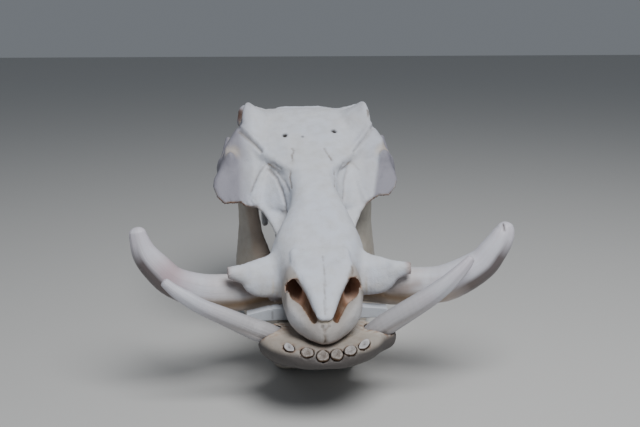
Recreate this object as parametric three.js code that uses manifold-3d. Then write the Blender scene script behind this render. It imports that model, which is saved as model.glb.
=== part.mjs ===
// A warthog skull with its lower jaw and all four tusks, standing on the lower edge of the jaw.
// Millimetres, +Z up. The snout points along -Y, and the skull's own left side is at +X.
// Bones are written as distance fields: a field gives about how far a point lies outside the bone,
// with negative numbers inside. Tusks, teeth and their sockets are meshes swept along a centre line.
import * as THREE from "three";
import { mergeVertices } from "three/addons/utils/BufferGeometryUtils.js";
import Module from "manifold-3d";

// Driving dimensions. The drawing frame has the tip of the nose bone at X 0, Y 0 and the table at Z 0.
const MIDDLE_X = 6.2; // the middle of the width, tusks included
const MIDDLE_Y = 170.8; // the middle of the length
const CRANIUM_GRID = { low: [-121, -14, 68], high: [121, 366, 290], cell: 4, faces: 4300 };
const MANDIBLE_GRID = { low: [-99, -22, -13], high: [99, 320, 190], cell: 3.6, faces: 1500 };
const BLOCK = 6; // grid steps in a block that is tested as a whole
const FAR_SHARE = 1.6; // fields grow slower than true distances, so a far block is taken this much further
const SOCKET_GAP = 0.45; // air between a tusk or tooth and its socket
const TABLE_BLOCK = { width: 400, length: 600, height: 60 }; // cuts the jaw's lower edge flat at the table

const BONE = { color: 0xd2d3d4, roughness: 0.62 };
const JAW_BONE = { color: 0xc9c0b4, roughness: 0.6 };
const IVORY = { color: 0xded6cc, roughness: 0.36 };
const ENAMEL = { color: 0xcfc4b3, roughness: 0.4 };
const WHITE_STRIP = { color: 0xe2e6ea, roughness: 0.7 };

// Cranium, lengthwise bodies. A row is y, top, bottom, then half the width at the top, middle and bottom.
const SNOUT_ROWS = [
  [46, 128, 86, 24, 36, 33],
  [70, 142, 88, 28, 38, 33],
  [95, 155.5, 92, 31, 45.5, 35],
  [112, 164.5, 95, 30, 48, 34],
  [126, 172, 97, 28, 45, 33],
  [140, 179.5, 99, 25, 40, 32],
  [155, 187.5, 101, 23, 34, 32],
  [172, 197, 104, 23, 28, 32],
  [200, 211, 110, 25, 29, 31],
  [225, 225, 122, 36, 31, 26],
  [250, 239, 136, 46, 33, 24],
  [289, 256, 146, 44, 38, 27],
  [310, 256, 147, 36, 41, 31],
  [332, 252, 147, 40, 44, 34],
];
const NOSE_ROWS = [
  [4, 105.5, 100, 5.5, 6.5, 5],
  [11, 110, 101, 7.5, 8.5, 7],
  [25, 117.5, 105, 11.5, 13, 11],
  [35, 123, 109, 15, 16.5, 13.5],
  [48, 130, 115, 21.5, 23, 19],
  [60, 137, 120, 27, 28.5, 24],
  [82, 148.5, 128, 29, 30, 27],
];
const MUZZLE_ROWS = [
  [-2, 91, 81, 3, 4, 3],
  [3, 96, 79, 9, 11, 7],
  [10, 101, 78, 16, 19, 12],
  [20, 106, 79, 25, 28, 20],
  [32, 112, 81, 32, 35, 27],
  [48, 127, 84, 32.5, 37.5, 33.5],
  [66, 138, 87, 31, 37.5, 33],
];
// The slope of bone from the snout's top edge down to the cheek.
const SLOPE_ROWS = [
  [168, 188, 160, 16, 20, 22],
  [185, 198, 164, 20, 32, 45],
  [200, 205, 170, 22, 42, 60],
  [215, 212, 180, 27, 51, 70],
  [229, 219, 190, 30, 57, 74],
];
// The flat forehead: y, top, thickness, half width.
const FOREHEAD_ROWS = [
  [192, 208, 12, 26],
  [203, 213.5, 13, 36],
  [215, 219.5, 14, 47],
  [231, 228.5, 16, 61],
  [250, 239, 18, 74],
  [266, 247.5, 20, 73],
  [280, 254, 19, 67],
  [290, 256.5, 18, 58],
  [304, 258, 16, 44],
];
const PEAK = { rise: 19, from: 46, to: 71, y: 270, length: 22 }; // the raised corner over each eye
const DROOP = { by: 6, half: 60, from: 250, to: 225 }; // the forehead's front edges turn down a little
// The cheek wall seen from the front, as x and z, and how it leans back.
const CHEEK_OUTLINE_RIGHT = [
  [26, 200],
  [42, 213],
  [60, 230],
  [73, 243],
  [81, 241],
  [89, 231],
  [95, 222],
  [95, 209],
  [99, 203],
  [107, 190],
  [108, 182],
  [103, 172],
  [95, 166],
  [78, 167],
  [71, 163],
  [60, 162],
  [53, 157],
  [45, 146],
  [39, 135],
  [34, 116],
  [26, 108],
];
const CHEEK_OUTLINE_LEFT = [
  [26, 200],
  [42, 213],
  [60, 230],
  [73, 243],
  [81, 239],
  [89, 228],
  [92, 216],
  [92, 205],
  [99, 195],
  [101, 187],
  [98, 179],
  [89, 171],
  [77, 171],
  [65, 165],
  [56, 156],
  [49, 143],
  [43, 130],
  [35, 114],
  [26, 108],
];
const CHEEK = { start: 54, lean: 0.85, thickness: 16, round: 6, top: 5, from: 202, to: 234 };
// Ridges and hollows of the cheek's face: the height, from x and z to x and z, and the width.
const CHEEK_RELIEF = [
  [-3.2, 50, 205, 61, 170, 4.5],
  [3.6, 84, 214, 90, 184, 12],
  [2.4, 70, 206, 74, 180, 7],
];
// The cheek arch, from the cheek wall back to the ear: x, y, z, half height, half thickness.
const ARCH_PATH = [
  [88, 226, 194, 24, 7],
  [97, 244, 187, 23, 6.5],
  [100, 264, 184, 19, 6],
  [97, 288, 184, 16, 6.5],
  [84, 308, 184, 16, 8],
  [60, 321, 184, 18, 11],
];
const CHEEK_SPUR_PATH = [
  [98, 262, 196, 9, 5],
  [92, 276, 222, 6, 4],
];
// The wing of bone over each upper tusk, from the snout outwards.
const WING_PATH = [
  [36, 96, 117, 24, 13],
  [50, 89, 116, 21, 10],
  [61, 84, 116.5, 18.5, 8],
  [69, 81, 118.5, 15, 7],
  [75, 79, 122.5, 10, 6.5],
  [90, 76, 125.5, 5.8, 5.5],
  [100, 75, 126, 5.5, 5],
];
const WING_TALL = [0, 0.42, 0.91];
const BEHIND_EYE_IN = 3.5; // how much nearer the middle that bone lies on the left
const WING_END = [[108.5, 60, 122], [19, 60, 60]]; // what blunts the wing's end
const TUSK_SOCKET_PATH = [
  [16, 118, 102, 17, 17],
  [32, 115, 102, 19, 19],
  [46, 112, 101, 20.5, 20.5],
];
const NOSTRIL_PATH = [
  [10, 9, 98, 6, 3.6],
  [12.5, 16, 102, 9, 4.2],
  [17, 27, 108, 10.5, 5],
  [22.5, 40, 113.5, 11.5, 7],
  [27, 54, 114, 11.5, 8],
  [23, 66, 115, 11, 8],
  [17, 84, 119, 9, 8],
];
const NAPE_PATH = [
  [0, 336, 247, 9, 7],
  [30, 338, 246, 9, 6],
  [56, 334, 232, 9, 6],
  [68, 324, 208, 10, 6],
  [66, 316, 186, 11, 8],
];
const TOOTH_RIDGE_PATH = [
  [27, 118, 104, 10, 8],
  [28, 180, 110, 12, 11],
  [28, 232, 117, 12, 11],
];
const PALATE_WING_PATH = [
  [18, 226, 122, 15, 3.5],
  [17, 252, 128, 16, 3],
  [20, 276, 138, 12, 3],
];
const EAR_SPUR_PATH = [
  [45, 322, 172, 11, 8],
  [49, 316, 142, 8, 6],
  [50, 309, 112, 4, 4],
];
const EYE_SOCKET_PATH = [
  [58, 276, 243, 8, 10],
  [70, 278, 249, 10, 12],
  [86, 283, 253, 11, 14],
];
// The bone behind the eye socket.
const BEHIND_EYE_PATH = [
  [54, 297, 252, 8, 5],
  [68, 299, 256, 7, 4],
  [75.5, 298, 254, 7, 3.5],
  [78, 296, 244, 7, 3.5],
];
const UPRIGHT = [0, 0, 1];
const BACKWARD = [0, 1, 0];

// Rounded lumps and hollows of the cranium: the middle, then half the size along X, Y and Z.
const EYE_WALL = [[60, 276, 240], [19, 21, 20]];
const BACK_OF_SKULL = [[0, 320, 205], [66, 14, 48]];
const EAR_CAPSULE = [[31, 296, 139], [11, 13, 15]];
const NECK_KNOB = [[19, 338, 151], [13, 11, 13]];
const CORD_HOLE = [[0, 342, 163], [12, 24, 11]];
const NOSE_PASSAGE = [[0, 244, 124], [12, 30, 13]];

// The snout bends a little to its left between the wings and the forehead.
const BEND = { shift: 4, y: 148, length: 34 };

// Mandible.
const CHIN_ROWS = [
  [-8, 67, 60, 8, 10, 7],
  [-2, 72, 57, 27, 29, 20],
  [6, 76, 55, 40, 42, 30],
  [18, 77.5, 51, 51, 52, 36],
  [34, 76, 44, 57, 58, 40],
  [52, 76, 35.5, 52, 53, 40],
  [66, 75.5, 29, 49, 50, 39],
  [75, 71.5, 25, 45, 47, 38],
  [96, 73, 15, 34, 40, 36],
  [116, 74, 6, 33, 40, 38],
  [130, 74, 0, 33, 40, 38],
];
const CHIN_TROUGH_PATH = [
  [0, 26, 84, 10, 20],
  [0, 60, 80, 10, 16],
  [0, 100, 62, 26, 21],
  [0, 130, 50, 60, 24],
];
const JAW_OUTLINE = [
  [78, 66],
  [112, 80],
  [150, 84],
  [196, 90],
  [222, 98],
  [236, 122],
  [246, 150],
  [254, 172],
  [262, 175],
  [270, 165],
  [277, 154],
  [286, 163],
  [300, 164],
  [305, 156],
  [298, 140],
  [290, 110],
  [284, 72],
  [274, 38],
  [254, 14],
  [228, 2],
  [190, -3],
  [130, -3],
  [112, 6],
  [86, 22],
];
// How far out the middle of each jaw half lies, as y and x.
const JAW_SPREAD = [
  [80, 26],
  [130, 31],
  [180, 39],
  [215, 49],
  [240, 61],
  [265, 71],
  [300, 76],
];
// Half the thickness of a jaw half along X, low down and high up. Its sheet spreads, so it is thinner across.
const JAW = { thickness: 14, thin: 8, from: 70, to: 120, slant: 1.15 };
const JAW_CONDYLE = [[76, 296, 160], [13, 8, 7]];
const JAW_SOCKET_LEFT = [[58, 48, 66], [15, 17, 13]];
const JAW_SOCKET_RIGHT = [[-45, 46, 66], [15, 17, 13]];

// Tusks: x, y, z, then half the thickness. One row for each station from the root to the tip.
const UPPER_TUSK_LEFT = [
  [26, 120, 96, 15],
  [50, 113, 97, 18],
  [74.5, 105, 97.5, 19.4],
  [94, 94, 100.5, 19.4],
  [116, 85, 104, 18.6],
  [130, 79, 108.8, 18.4],
  [147, 74, 118.8, 17.2],
  [162.3, 71, 130.3, 15.4],
  [171, 70, 142, 13.9],
  [178.5, 70, 153.5, 12.2],
  [183, 71, 163, 10.2],
  [184.8, 72, 171.5, 6.8],
];
const LOWER_TUSK_LEFT = [
  [44, 52, 62, 10],
  [58, 46, 76, 10.8],
  [75.7, 44, 88.7, 10.6],
  [102, 42, 106.6, 9.6],
  [118, 42, 118.8, 8.4],
  [129.6, 43, 129.3, 7],
  [138.2, 44, 138.2, 5.4],
  [144, 45, 145.3, 3.6],
];
const UPPER_TUSK_RIGHT = [
  [-26, 122, 95, 15],
  [-47, 117, 94.5, 18],
  [-71, 109, 94, 19.2],
  [-94.5, 96, 98, 18.6],
  [-118, 84, 105, 17.2],
  [-142, 74, 118.5, 14.8],
  [-156, 71, 133.5, 14],
  [-166.5, 70, 148, 12],
  [-171.5, 70, 163, 9],
  [-173.8, 71, 175, 7.2],
];
const LOWER_TUSK_RIGHT = [
  [-40, 50, 66, 10],
  [-57, 44, 76, 10.4],
  [-69, 44, 81.3, 9.8],
  [-92.7, 42, 94, 8.5],
  [-112.8, 41, 104.4, 7.3],
  [-124.6, 41, 112.2, 7],
  [-137, 42, 120.5, 5.8],
  [-148, 43, 130.3, 4.2],
];
// The lengthwise groove's depth is a share of the thickness. Its place round the tusk and its width are in
// radians. The tip is rounded over the last share of the length, down to a share of the thickness.
const TUSK_GROOVE = { depth: 0.1, at: 0.19, width: 0.35 };
const TUSK_TIP = { length: 0.1, thick: 0.25 };
const TUSK_MESH = { steps: 15, sides: 9 };

// Worn front teeth of the jaw: x, y, z of the worn face, then half the width and half the depth.
const FRONT_TEETH = [
  [-33.2, 6, 76.3, 4.6, 3.6],
  [-17, 0, 73.4, 5.7, 5],
  [-3, -3, 71, 5.7, 5.3],
  [9.8, -3, 72, 5.6, 5.3],
  [22.5, 0, 74, 5.7, 5],
  [36, 6, 77, 5, 3.6],
];
// Heights along the tooth, widths as shares, and the backward tilt in radians. A socket is cut through the
// bone above the tooth, which its lift makes sure of.
const FRONT_TOOTH = { root: 11, neck: 2, rim: 0.4, dome: 1.3, domeWidth: 0.75, rootWidth: 0.8, tilt: 0.72 };
const FRONT_SOCKET_LIFT = 8;

// Cheek teeth: middle y, half length and half width.
const CHEEK_TEETH = [
  { name: "molar_2", y: 158, length: 9, width: 7 },
  { name: "molar_3", y: 197, length: 26, width: 7.6 },
];
// The plane in which upper and lower cheek teeth meet, half the gap between them, and the height of a tooth.
const BITE = { x: 28, y: 178, z: 95.5, slope: 0.14, gap: 0.4, height: 18 };

const STRIP = { at: [-1.5, 82, 80.4], size: [141, 12, 12.6] };

const clamp = (v, low, high) => Math.min(Math.max(v, low), high);
const mix = (a, b, t) => a + (b - a) * t;
const unit = (v) => new THREE.Vector3(...v).normalize().toArray();

// Two fields joined, with a fillet about r wide between them.
function join(a, b, r) {
  const near = Math.max(r - Math.abs(a - b), 0) / r;
  return Math.min(a, b) - near * near * r * 0.25;
}

// Field a with field b cut away, its edge rounded by about r.
const carve = (a, b, r) => -join(-a, b, r);

// A row of numbers at y, from rows that start with y: a cubic through the rows, flat beyond both ends.
function rowAt(rows, y) {
  const last = rows.length - 1;
  if (y <= rows[0][0]) return rows[0];
  if (y >= rows[last][0]) return rows[last];
  let i = 0;
  while (rows[i + 1][0] < y) i++;
  const [a, b] = [rows[i], rows[i + 1]];
  const before = rows[Math.max(i - 1, 0)];
  const after = rows[Math.min(i + 2, last)];
  const step = b[0] - a[0];
  const t = (y - a[0]) / step;
  return a.map((value, k) => {
    const slopeIn = ((b[k] - before[k]) / (b[0] - before[0])) * step;
    const slopeOut = ((after[k] - value) / (after[0] - a[0])) * step;
    const bend = (2 * t ** 3 - 3 * t ** 2) * (value - b[k]);
    return value + bend + (t ** 3 - 2 * t ** 2 + t) * slopeIn + (t ** 3 - t ** 2) * slopeOut;
  });
}

// The same stations with two more between each pair, along a smooth curve.
function smoothPath(stations) {
  const rows = stations.map((s, i) => [i, ...s]);
  const made = [];
  for (let i = 0; i <= 3 * (stations.length - 1); i++) made.push(rowAt(rows, i / 3).slice(1));
  return made;
}

// A rounded box whose half sizes a, b and c are already taken off the distances.
function roundedBox(a, b, c, round) {
  const [x, y, z] = [a + round, b + round, c + round];
  const out = Math.hypot(Math.max(x, 0), Math.max(y, 0), Math.max(z, 0));
  return out + Math.min(Math.max(x, y, z), 0) - round;
}

// A body along Y whose sections are rounded shapes with a bulging or pinched side.
function loft(rows, round) {
  const first = rows[0][0];
  const last = rows[rows.length - 1][0];
  return (x, y, z) => {
    const [, top, bottom, wTop, wMiddle, wBottom] = rowAt(rows, y);
    const v = clamp((z - bottom) / (top - bottom), 0, 1);
    const width =
      wBottom * (1 - v) * (1 - 2 * v) + 4 * wMiddle * v * (1 - v) + wTop * v * (2 * v - 1);
    const ends = Math.max(first - y, y - last);
    return roundedBox(Math.abs(x) - width, ends, Math.max(z - top, bottom - z), round);
  };
}

// A body swept along stations of x, y, z, half height along the tall direction and half thickness.
function sweep(stations, tall) {
  const path = smoothPath(stations);
  const up = unit(tall);
  return (x, y, z) => {
    let best = Infinity;
    for (let i = 0; i + 1 < path.length; i++) {
      const [a, b] = [path[i], path[i + 1]];
      const [dx, dy, dz] = [b[0] - a[0], b[1] - a[1], b[2] - a[2]];
      const [px, py, pz] = [x - a[0], y - a[1], z - a[2]];
      const t = clamp((px * dx + py * dy + pz * dz) / (dx * dx + dy * dy + dz * dz), 0, 1);
      const [qx, qy, qz] = [px - t * dx, py - t * dy, pz - t * dz];
      const high = qx * up[0] + qy * up[1] + qz * up[2];
      const side = Math.sqrt(Math.max(qx * qx + qy * qy + qz * qz - high * high, 0));
      best = Math.min(best, ellipse(side, high, mix(a[4], b[4], t), mix(a[3], b[3], t)));
    }
    return best;
  };
}

// About how far the point u, v lies outside the ellipse with half axes a and b.
function ellipse(u, v, a, b) {
  const near = Math.hypot(u / a, v / b);
  const slope = Math.hypot(u / (a * a), v / (b * b));
  return slope < 1e-9 ? -Math.min(a, b) : (near * (near - 1)) / slope;
}

function ellipsoid([centre, size]) {
  return (x, y, z) => {
    const [u, v, w] = [x - centre[0], y - centre[1], z - centre[2]];
    const near = Math.hypot(u / size[0], v / size[1], w / size[2]);
    const slope = Math.hypot(u / size[0] ** 2, v / size[1] ** 2, w / size[2] ** 2);
    return slope < 1e-9 ? -Math.min(...size) : (near * (near - 1)) / slope;
  };
}

// How far the point u, v lies outside a flat outline.
function outlineDistance(outline, u, v) {
  let nearest = Infinity;
  let inside = false;
  for (let i = 0, j = outline.length - 1; i < outline.length; j = i++) {
    const [[ax, ay], [bx, by]] = [outline[j], outline[i]];
    const [ex, ey] = [bx - ax, by - ay];
    const t = clamp(((u - ax) * ex + (v - ay) * ey) / (ex * ex + ey * ey), 0, 1);
    nearest = Math.min(nearest, Math.hypot(u - ax - t * ex, v - ay - t * ey));
    if (ay > v !== by > v && u < ax + (ex * (v - ay)) / ey) inside = !inside;
  }
  return inside ? -nearest : nearest;
}

const share = (v, from, to) => clamp((v - from) / (to - from), 0, 1);

// The forehead plate, dished across its middle and rising to a peak over each eye.
function forehead(x, y, z) {
  const [, top, thickness, half] = rowAt(FOREHEAD_ROWS, y);
  const across = share(x, PEAK.from, PEAK.to);
  const along = Math.exp(-(((y - PEAK.y) / PEAK.length) ** 2));
  const droop = DROOP.by * (x / DROOP.half) ** 2 * share(y, DROOP.from, DROOP.to);
  const crown = top + PEAK.rise * across * across * (3 - 2 * across) * along - droop;
  const first = FOREHEAD_ROWS[0][0];
  const last = FOREHEAD_ROWS[FOREHEAD_ROWS.length - 1][0];
  const ends = Math.max(first - y, y - last);
  return roundedBox(x - half, ends, Math.max(z - crown, top - thickness - z), 4);
}

// The cheek wall: the outline seen from the front, on a sheet that leans back.
function cheek(x, y, z, signedX) {
  const raised = share(z, CHEEK.from, CHEEK.to);
  let middle = CHEEK.start + CHEEK.lean * z - CHEEK.top * raised * raised * (3 - 2 * raised);
  for (const [height, ax, az, bx, bz, width] of CHEEK_RELIEF) {
    const [ex, ez] = [bx - ax, bz - az];
    const t = clamp(((x - ax) * ex + (z - az) * ez) / (ex * ex + ez * ez), 0, 1);
    const off = Math.hypot(x - ax - t * ex, z - az - t * ez);
    middle += height * Math.exp(-((off / width) ** 2));
  }
  const through = (Math.abs(y - middle) - CHEEK.thickness / 2) / Math.hypot(1, CHEEK.lean);
  const outline = signedX > 0 ? CHEEK_OUTLINE_LEFT : CHEEK_OUTLINE_RIGHT;
  return -join(-through, -outlineDistance(outline, Math.abs(signedX), z), CHEEK.round);
}

// One side of the jaw: the outline seen from the side, on a sheet that spreads outwards to the back.
function jawSide(x, y, z) {
  const middle = rowAt(JAW_SPREAD, y)[1];
  const thickness = mix(JAW.thickness, JAW.thin, share(z, JAW.from, JAW.to));
  const through = (Math.abs(x - middle) - thickness) / JAW.slant;
  return -join(-through, -outlineDistance(JAW_OUTLINE, y, z), 9);
}

// A field on its own side of the skull only: the others take the distance from the middle plane instead.
const oneSided = (field) => (x, y, z, signedX) => field(signedX, y, z);

// A field that lies nearer the middle on the skull's own left.
const drawnIn = (field, by) => (x, y, z, signedX) => field(signedX > 0 ? x + by : x, y, z);

// A field with another cut away from it.
const carved = (a, b, round) => (x, y, z) => carve(a(x, y, z), b(x, y, z), round);

// What a bone is made of, in order: joined or carved, the field, and the fillet's radius.
const CRANIUM_STEPS = [
  [join, loft(SNOUT_ROWS, 13), 8],
  [join, loft(MUZZLE_ROWS, 6), 8],
  [join, sweep(TUSK_SOCKET_PATH, UPRIGHT), 10],
  [join, sweep(TOOTH_RIDGE_PATH, UPRIGHT), 8],
  [carve, sweep(NOSTRIL_PATH, UPRIGHT), 3],
  [join, loft(NOSE_ROWS, 4), 3],
  [join, carved(sweep(WING_PATH, WING_TALL), ellipsoid(WING_END), 2), 8],
  [join, cheek, 9],
  [join, loft(SLOPE_ROWS, 6), 9],
  [join, forehead, 6],
  [join, ellipsoid(EYE_WALL), 8],
  [join, sweep(ARCH_PATH, UPRIGHT), 7],
  [join, sweep(CHEEK_SPUR_PATH, UPRIGHT), 6],
  [join, ellipsoid(BACK_OF_SKULL), 10],
  [join, sweep(NAPE_PATH, UPRIGHT), 8],
  [join, sweep(EAR_SPUR_PATH, BACKWARD), 6],
  [join, ellipsoid(EAR_CAPSULE), 5],
  [join, sweep(PALATE_WING_PATH, UPRIGHT), 4],
  [join, ellipsoid(NECK_KNOB), 5],
  [join, drawnIn(sweep(BEHIND_EYE_PATH, UPRIGHT), BEHIND_EYE_IN), 5],
  [carve, sweep(EYE_SOCKET_PATH, UPRIGHT), 3],
  [carve, ellipsoid(CORD_HOLE), 3],
  [carve, ellipsoid(NOSE_PASSAGE), 3],
];
const MANDIBLE_STEPS = [
  [join, loft(CHIN_ROWS, 7), 8],
  [join, jawSide, 10],
  [join, ellipsoid(JAW_CONDYLE), 6],
  [join, oneSided(ellipsoid(JAW_SOCKET_LEFT)), 8],
  [join, oneSided(ellipsoid(JAW_SOCKET_RIGHT)), 8],
  [carve, sweep(CHIN_TROUGH_PATH, UPRIGHT), 6],
];

function boneAt(steps, x, y, z, signedX) {
  let bone = steps[0][1](x, y, z, signedX);
  for (const [how, field, fillet] of steps.slice(1)) bone = how(bone, field(x, y, z, signedX), fillet);
  return bone;
}

function cranium(x, y, z) {
  const bend = BEND.shift * Math.exp(-(((y - BEND.y) / BEND.length) ** 2));
  return boneAt(CRANIUM_STEPS, Math.abs(x - bend), y, z, x);
}

const mandible = (x, y, z) => boneAt(MANDIBLE_STEPS, Math.abs(x), y, z, x);

// The surface where a field is zero, as a closed triangle mesh. Each cube of a grid is parted into six
// tetrahedra round its long diagonal, which leaves no open or doubtful edges.
function surfaceOf(field, { low, high, cell }) {
  const counts = low.map((v, k) => Math.ceil((high[k] - v) / cell) + 1);
  const [nx, ny, nz] = counts;
  const values = new Float32Array(nx * ny * nz);
  const index = (i, j, k) => i + nx * (j + ny * k);
  const at = (i, j, k) => field(low[0] + i * cell, low[1] + j * cell, low[2] + k * cell);
  // A block of the grid whose middle is far from the surface takes the middle's value throughout.
  const far = FAR_SHARE * Math.sqrt(3) * (BLOCK / 2) * cell;
  for (let k0 = 0; k0 < nz; k0 += BLOCK)
    for (let j0 = 0; j0 < ny; j0 += BLOCK)
      for (let i0 = 0; i0 < nx; i0 += BLOCK) {
        const middle = at(i0 + BLOCK / 2, j0 + BLOCK / 2, k0 + BLOCK / 2);
        for (let k = k0; k < Math.min(k0 + BLOCK, nz); k++)
          for (let j = j0; j < Math.min(j0 + BLOCK, ny); j++)
            for (let i = i0; i < Math.min(i0 + BLOCK, nx); i++)
              values[index(i, j, k)] = Math.abs(middle) > far ? middle : at(i, j, k);
      }
  const positions = [];
  const triangles = [];
  const edgeVertex = new Map();
  const corner = (n) => [n % nx, Math.floor(n / nx) % ny, Math.floor(n / (nx * ny))];
  const crossing = (a, b) => {
    const [p, q] = a < b ? [a, b] : [b, a];
    const key = p * counts[0] * counts[1] * 4 + (q - p);
    if (!edgeVertex.has(key)) {
      const t = clamp(values[p] / (values[p] - values[q]), 0.04, 0.96);
      const [u, v] = [corner(p), corner(q)];
      edgeVertex.set(key, positions.length);
      positions.push(u.map((c, axis) => low[axis] + cell * mix(c, v[axis], t)));
    }
    return edgeVertex.get(key);
  };
  const steps = [1, nx, nx * ny];
  // The first two steps of each tetrahedron's path along the cube's edges, and its sense.
  const orders = [
    [0, 1, 1],
    [1, 2, 1],
    [2, 0, 1],
    [0, 2, -1],
    [2, 1, -1],
    [1, 0, -1],
  ];
  const whole = steps[0] + steps[1] + steps[2];
  const quad = (a, b, c, d, turned) => {
    if (turned) triangles.push([a, c, b], [a, d, c]);
    else triangles.push([a, b, c], [a, c, d]);
  };
  for (let k = 0; k + 1 < nz; k++)
    for (let j = 0; j + 1 < ny; j++)
      for (let i = 0; i + 1 < nx; i++) {
        const base = index(i, j, k);
        if (!cubeCrosses(values, base, steps)) continue;
        for (const [first, second, sense] of orders) {
          const tet = [base, base + steps[first], base + steps[first] + steps[second], base + whole];
          const inside = tet.filter((n) => values[n] < 0);
          const outside = tet.filter((n) => values[n] >= 0);
          if (!inside.length || !outside.length) continue;
          // An even order of inside then outside corners keeps the tetrahedron's own sense.
          const order = [...inside, ...outside].map((n) => tet.indexOf(n));
          const swapped = (a) => order.slice(a + 1).filter((b) => order[a] > b).length;
          const swaps = swapped(0) + swapped(1) + swapped(2);
          const turned = (swaps % 2 === 0) !== (sense > 0);
          if (inside.length === 1) {
            const [a, b, c] = outside.map((n) => crossing(inside[0], n));
            triangles.push(turned ? [a, c, b] : [a, b, c]);
          } else if (inside.length === 3) {
            const [a, b, c] = inside.map((n) => crossing(n, outside[0]));
            triangles.push(turned ? [a, c, b] : [a, b, c]);
          } else {
            const [[a, b], [c, d]] = [inside, outside];
            quad(crossing(a, c), crossing(a, d), crossing(b, d), crossing(b, c), turned);
          }
        }
      }
  return { positions, triangles };
}

function cubeCrosses(values, base, steps) {
  const first = values[base] < 0;
  for (let corner = 1; corner < 8; corner++) {
    const [i, j, k] = [corner & 1, (corner >> 1) & 1, corner >> 2];
    if (values[base + i * steps[0] + j * steps[1] + k * steps[2]] < 0 !== first) return true;
  }
  return false;
}

// Fewer triangles for the same shape: the edge whose loss moves the surface least goes first. Each corner
// carries the squared distances to the planes round it, as the ten numbers of a symmetric 4 by 4 matrix.
function simplified({ positions, triangles }, wanted) {
  const facesAt = positions.map(() => new Set());
  triangles.forEach((t, f) => t.forEach((v) => facesAt[v].add(f)));
  const errors = positions.map(() => new Float64Array(10));
  const normalOf = (a, b, c) => {
    const [ux, uy, uz] = [b[0] - a[0], b[1] - a[1], b[2] - a[2]];
    const [vx, vy, vz] = [c[0] - a[0], c[1] - a[1], c[2] - a[2]];
    return [uy * vz - uz * vy, uz * vx - ux * vz, ux * vy - uy * vx];
  };
  for (const t of triangles) {
    const [a, b, c] = t.map((v) => positions[v]);
    const n = normalOf(a, b, c);
    const size = Math.hypot(...n);
    if (size < 1e-12) continue;
    const [nx, ny, nz] = n.map((v) => v / size);
    const d = -(nx * a[0] + ny * a[1] + nz * a[2]);
    const plane = [nx * nx, nx * ny, nx * nz, nx * d, ny * ny, ny * nz, ny * d, nz * nz, nz * d, d * d];
    for (const v of t) for (let k = 0; k < 10; k++) errors[v][k] += plane[k] * size;
  }
  const errorAt = (q, [x, y, z]) =>
    q[0] * x * x + 2 * q[1] * x * y + 2 * q[2] * x * z + 2 * q[3] * x + q[4] * y * y +
    2 * q[5] * y * z + 2 * q[6] * y + q[7] * z * z + 2 * q[8] * z + q[9];
  const bestPoint = (q, a, b) => {
    const middle = a.map((v, k) => (v + b[k]) / 2);
    const m = new THREE.Matrix3().set(q[0], q[1], q[2], q[1], q[4], q[5], q[2], q[5], q[7]);
    const scale = Math.max(q[0], q[4], q[7]);
    if (Math.abs(m.determinant()) > 1e-3 * scale ** 3) {
      const p = new THREE.Vector3(-q[3], -q[6], -q[8]).applyMatrix3(m.invert()).toArray();
      const reach = Math.hypot(a[0] - b[0], a[1] - b[1], a[2] - b[2]);
      if (Math.hypot(p[0] - middle[0], p[1] - middle[1], p[2] - middle[2]) < 1.5 * reach) return p;
    }
    return [middle, a, b].reduce((least, p) => (errorAt(q, p) < errorAt(q, least) ? p : least));
  };
  const stamp = new Int32Array(positions.length);
  const heap = [];
  const push = (entry) => {
    let i = heap.push(entry) - 1;
    while (i > 0) {
      const parent = (i - 1) >> 1;
      if (heap[parent].cost <= heap[i].cost) break;
      [heap[parent], heap[i]] = [heap[i], heap[parent]];
      i = parent;
    }
  };
  const pop = () => {
    const top = heap[0];
    const last = heap.pop();
    if (heap.length) {
      heap[0] = last;
      let i = 0;
      for (;;) {
        let least = i;
        for (const child of [2 * i + 1, 2 * i + 2])
          if (child < heap.length && heap[child].cost < heap[least].cost) least = child;
        if (least === i) break;
        [heap[least], heap[i]] = [heap[i], heap[least]];
        i = least;
      }
    }
    return top;
  };
  const offer = (a, b) => {
    const q = errors[a].map((v, k) => v + errors[b][k]);
    const point = bestPoint(q, positions[a], positions[b]);
    push({ cost: errorAt(q, point), a, b, point, q, stamps: [stamp[a], stamp[b]] });
  };
  for (const t of triangles)
    for (let k = 0; k < 3; k++) if (t[k] < t[(k + 1) % 3]) offer(t[k], t[(k + 1) % 3]);
  const neighbours = (v) => {
    const found = new Set();
    for (const f of facesAt[v]) for (const w of triangles[f]) if (w !== v) found.add(w);
    return found;
  };
  const turnsOver = (v, other, point) => {
    for (const f of facesAt[v]) {
      const t = triangles[f];
      if (t.includes(other)) continue;
      const before = normalOf(...t.map((w) => positions[w]));
      const after = normalOf(...t.map((w) => (w === v ? point : positions[w])));
      const dot = before[0] * after[0] + before[1] * after[1] + before[2] * after[2];
      if (dot < 0.25 * Math.hypot(...before) * Math.hypot(...after)) return true;
      if (Math.hypot(...after) < 1e-3) return true;
    }
    return false;
  };
  let left = triangles.length;
  while (left > wanted && heap.length) {
    const { a, b, point, q, stamps } = pop();
    if (stamp[a] !== stamps[0] || stamp[b] !== stamps[1]) continue;
    if (!facesAt[a].size || !facesAt[b].size) continue;
    const around = neighbours(a);
    const shared = [...neighbours(b)].filter((v) => around.has(v));
    if (shared.length !== 2 || turnsOver(a, b, point) || turnsOver(b, a, point)) continue;
    for (const f of [...facesAt[b]]) {
      const t = triangles[f];
      if (t.includes(a)) {
        t.forEach((v) => facesAt[v].delete(f));
        triangles[f] = null;
        left--;
      } else {
        triangles[f] = t.map((v) => (v === b ? a : v));
        facesAt[b].delete(f);
        facesAt[a].add(f);
      }
    }
    positions[a] = point;
    errors[a] = q;
    stamp[a]++;
    stamp[b]++;
    for (const v of neighbours(a)) offer(a, v);
  }
  return geometryOf(positions, triangles.filter(Boolean));
}

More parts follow.
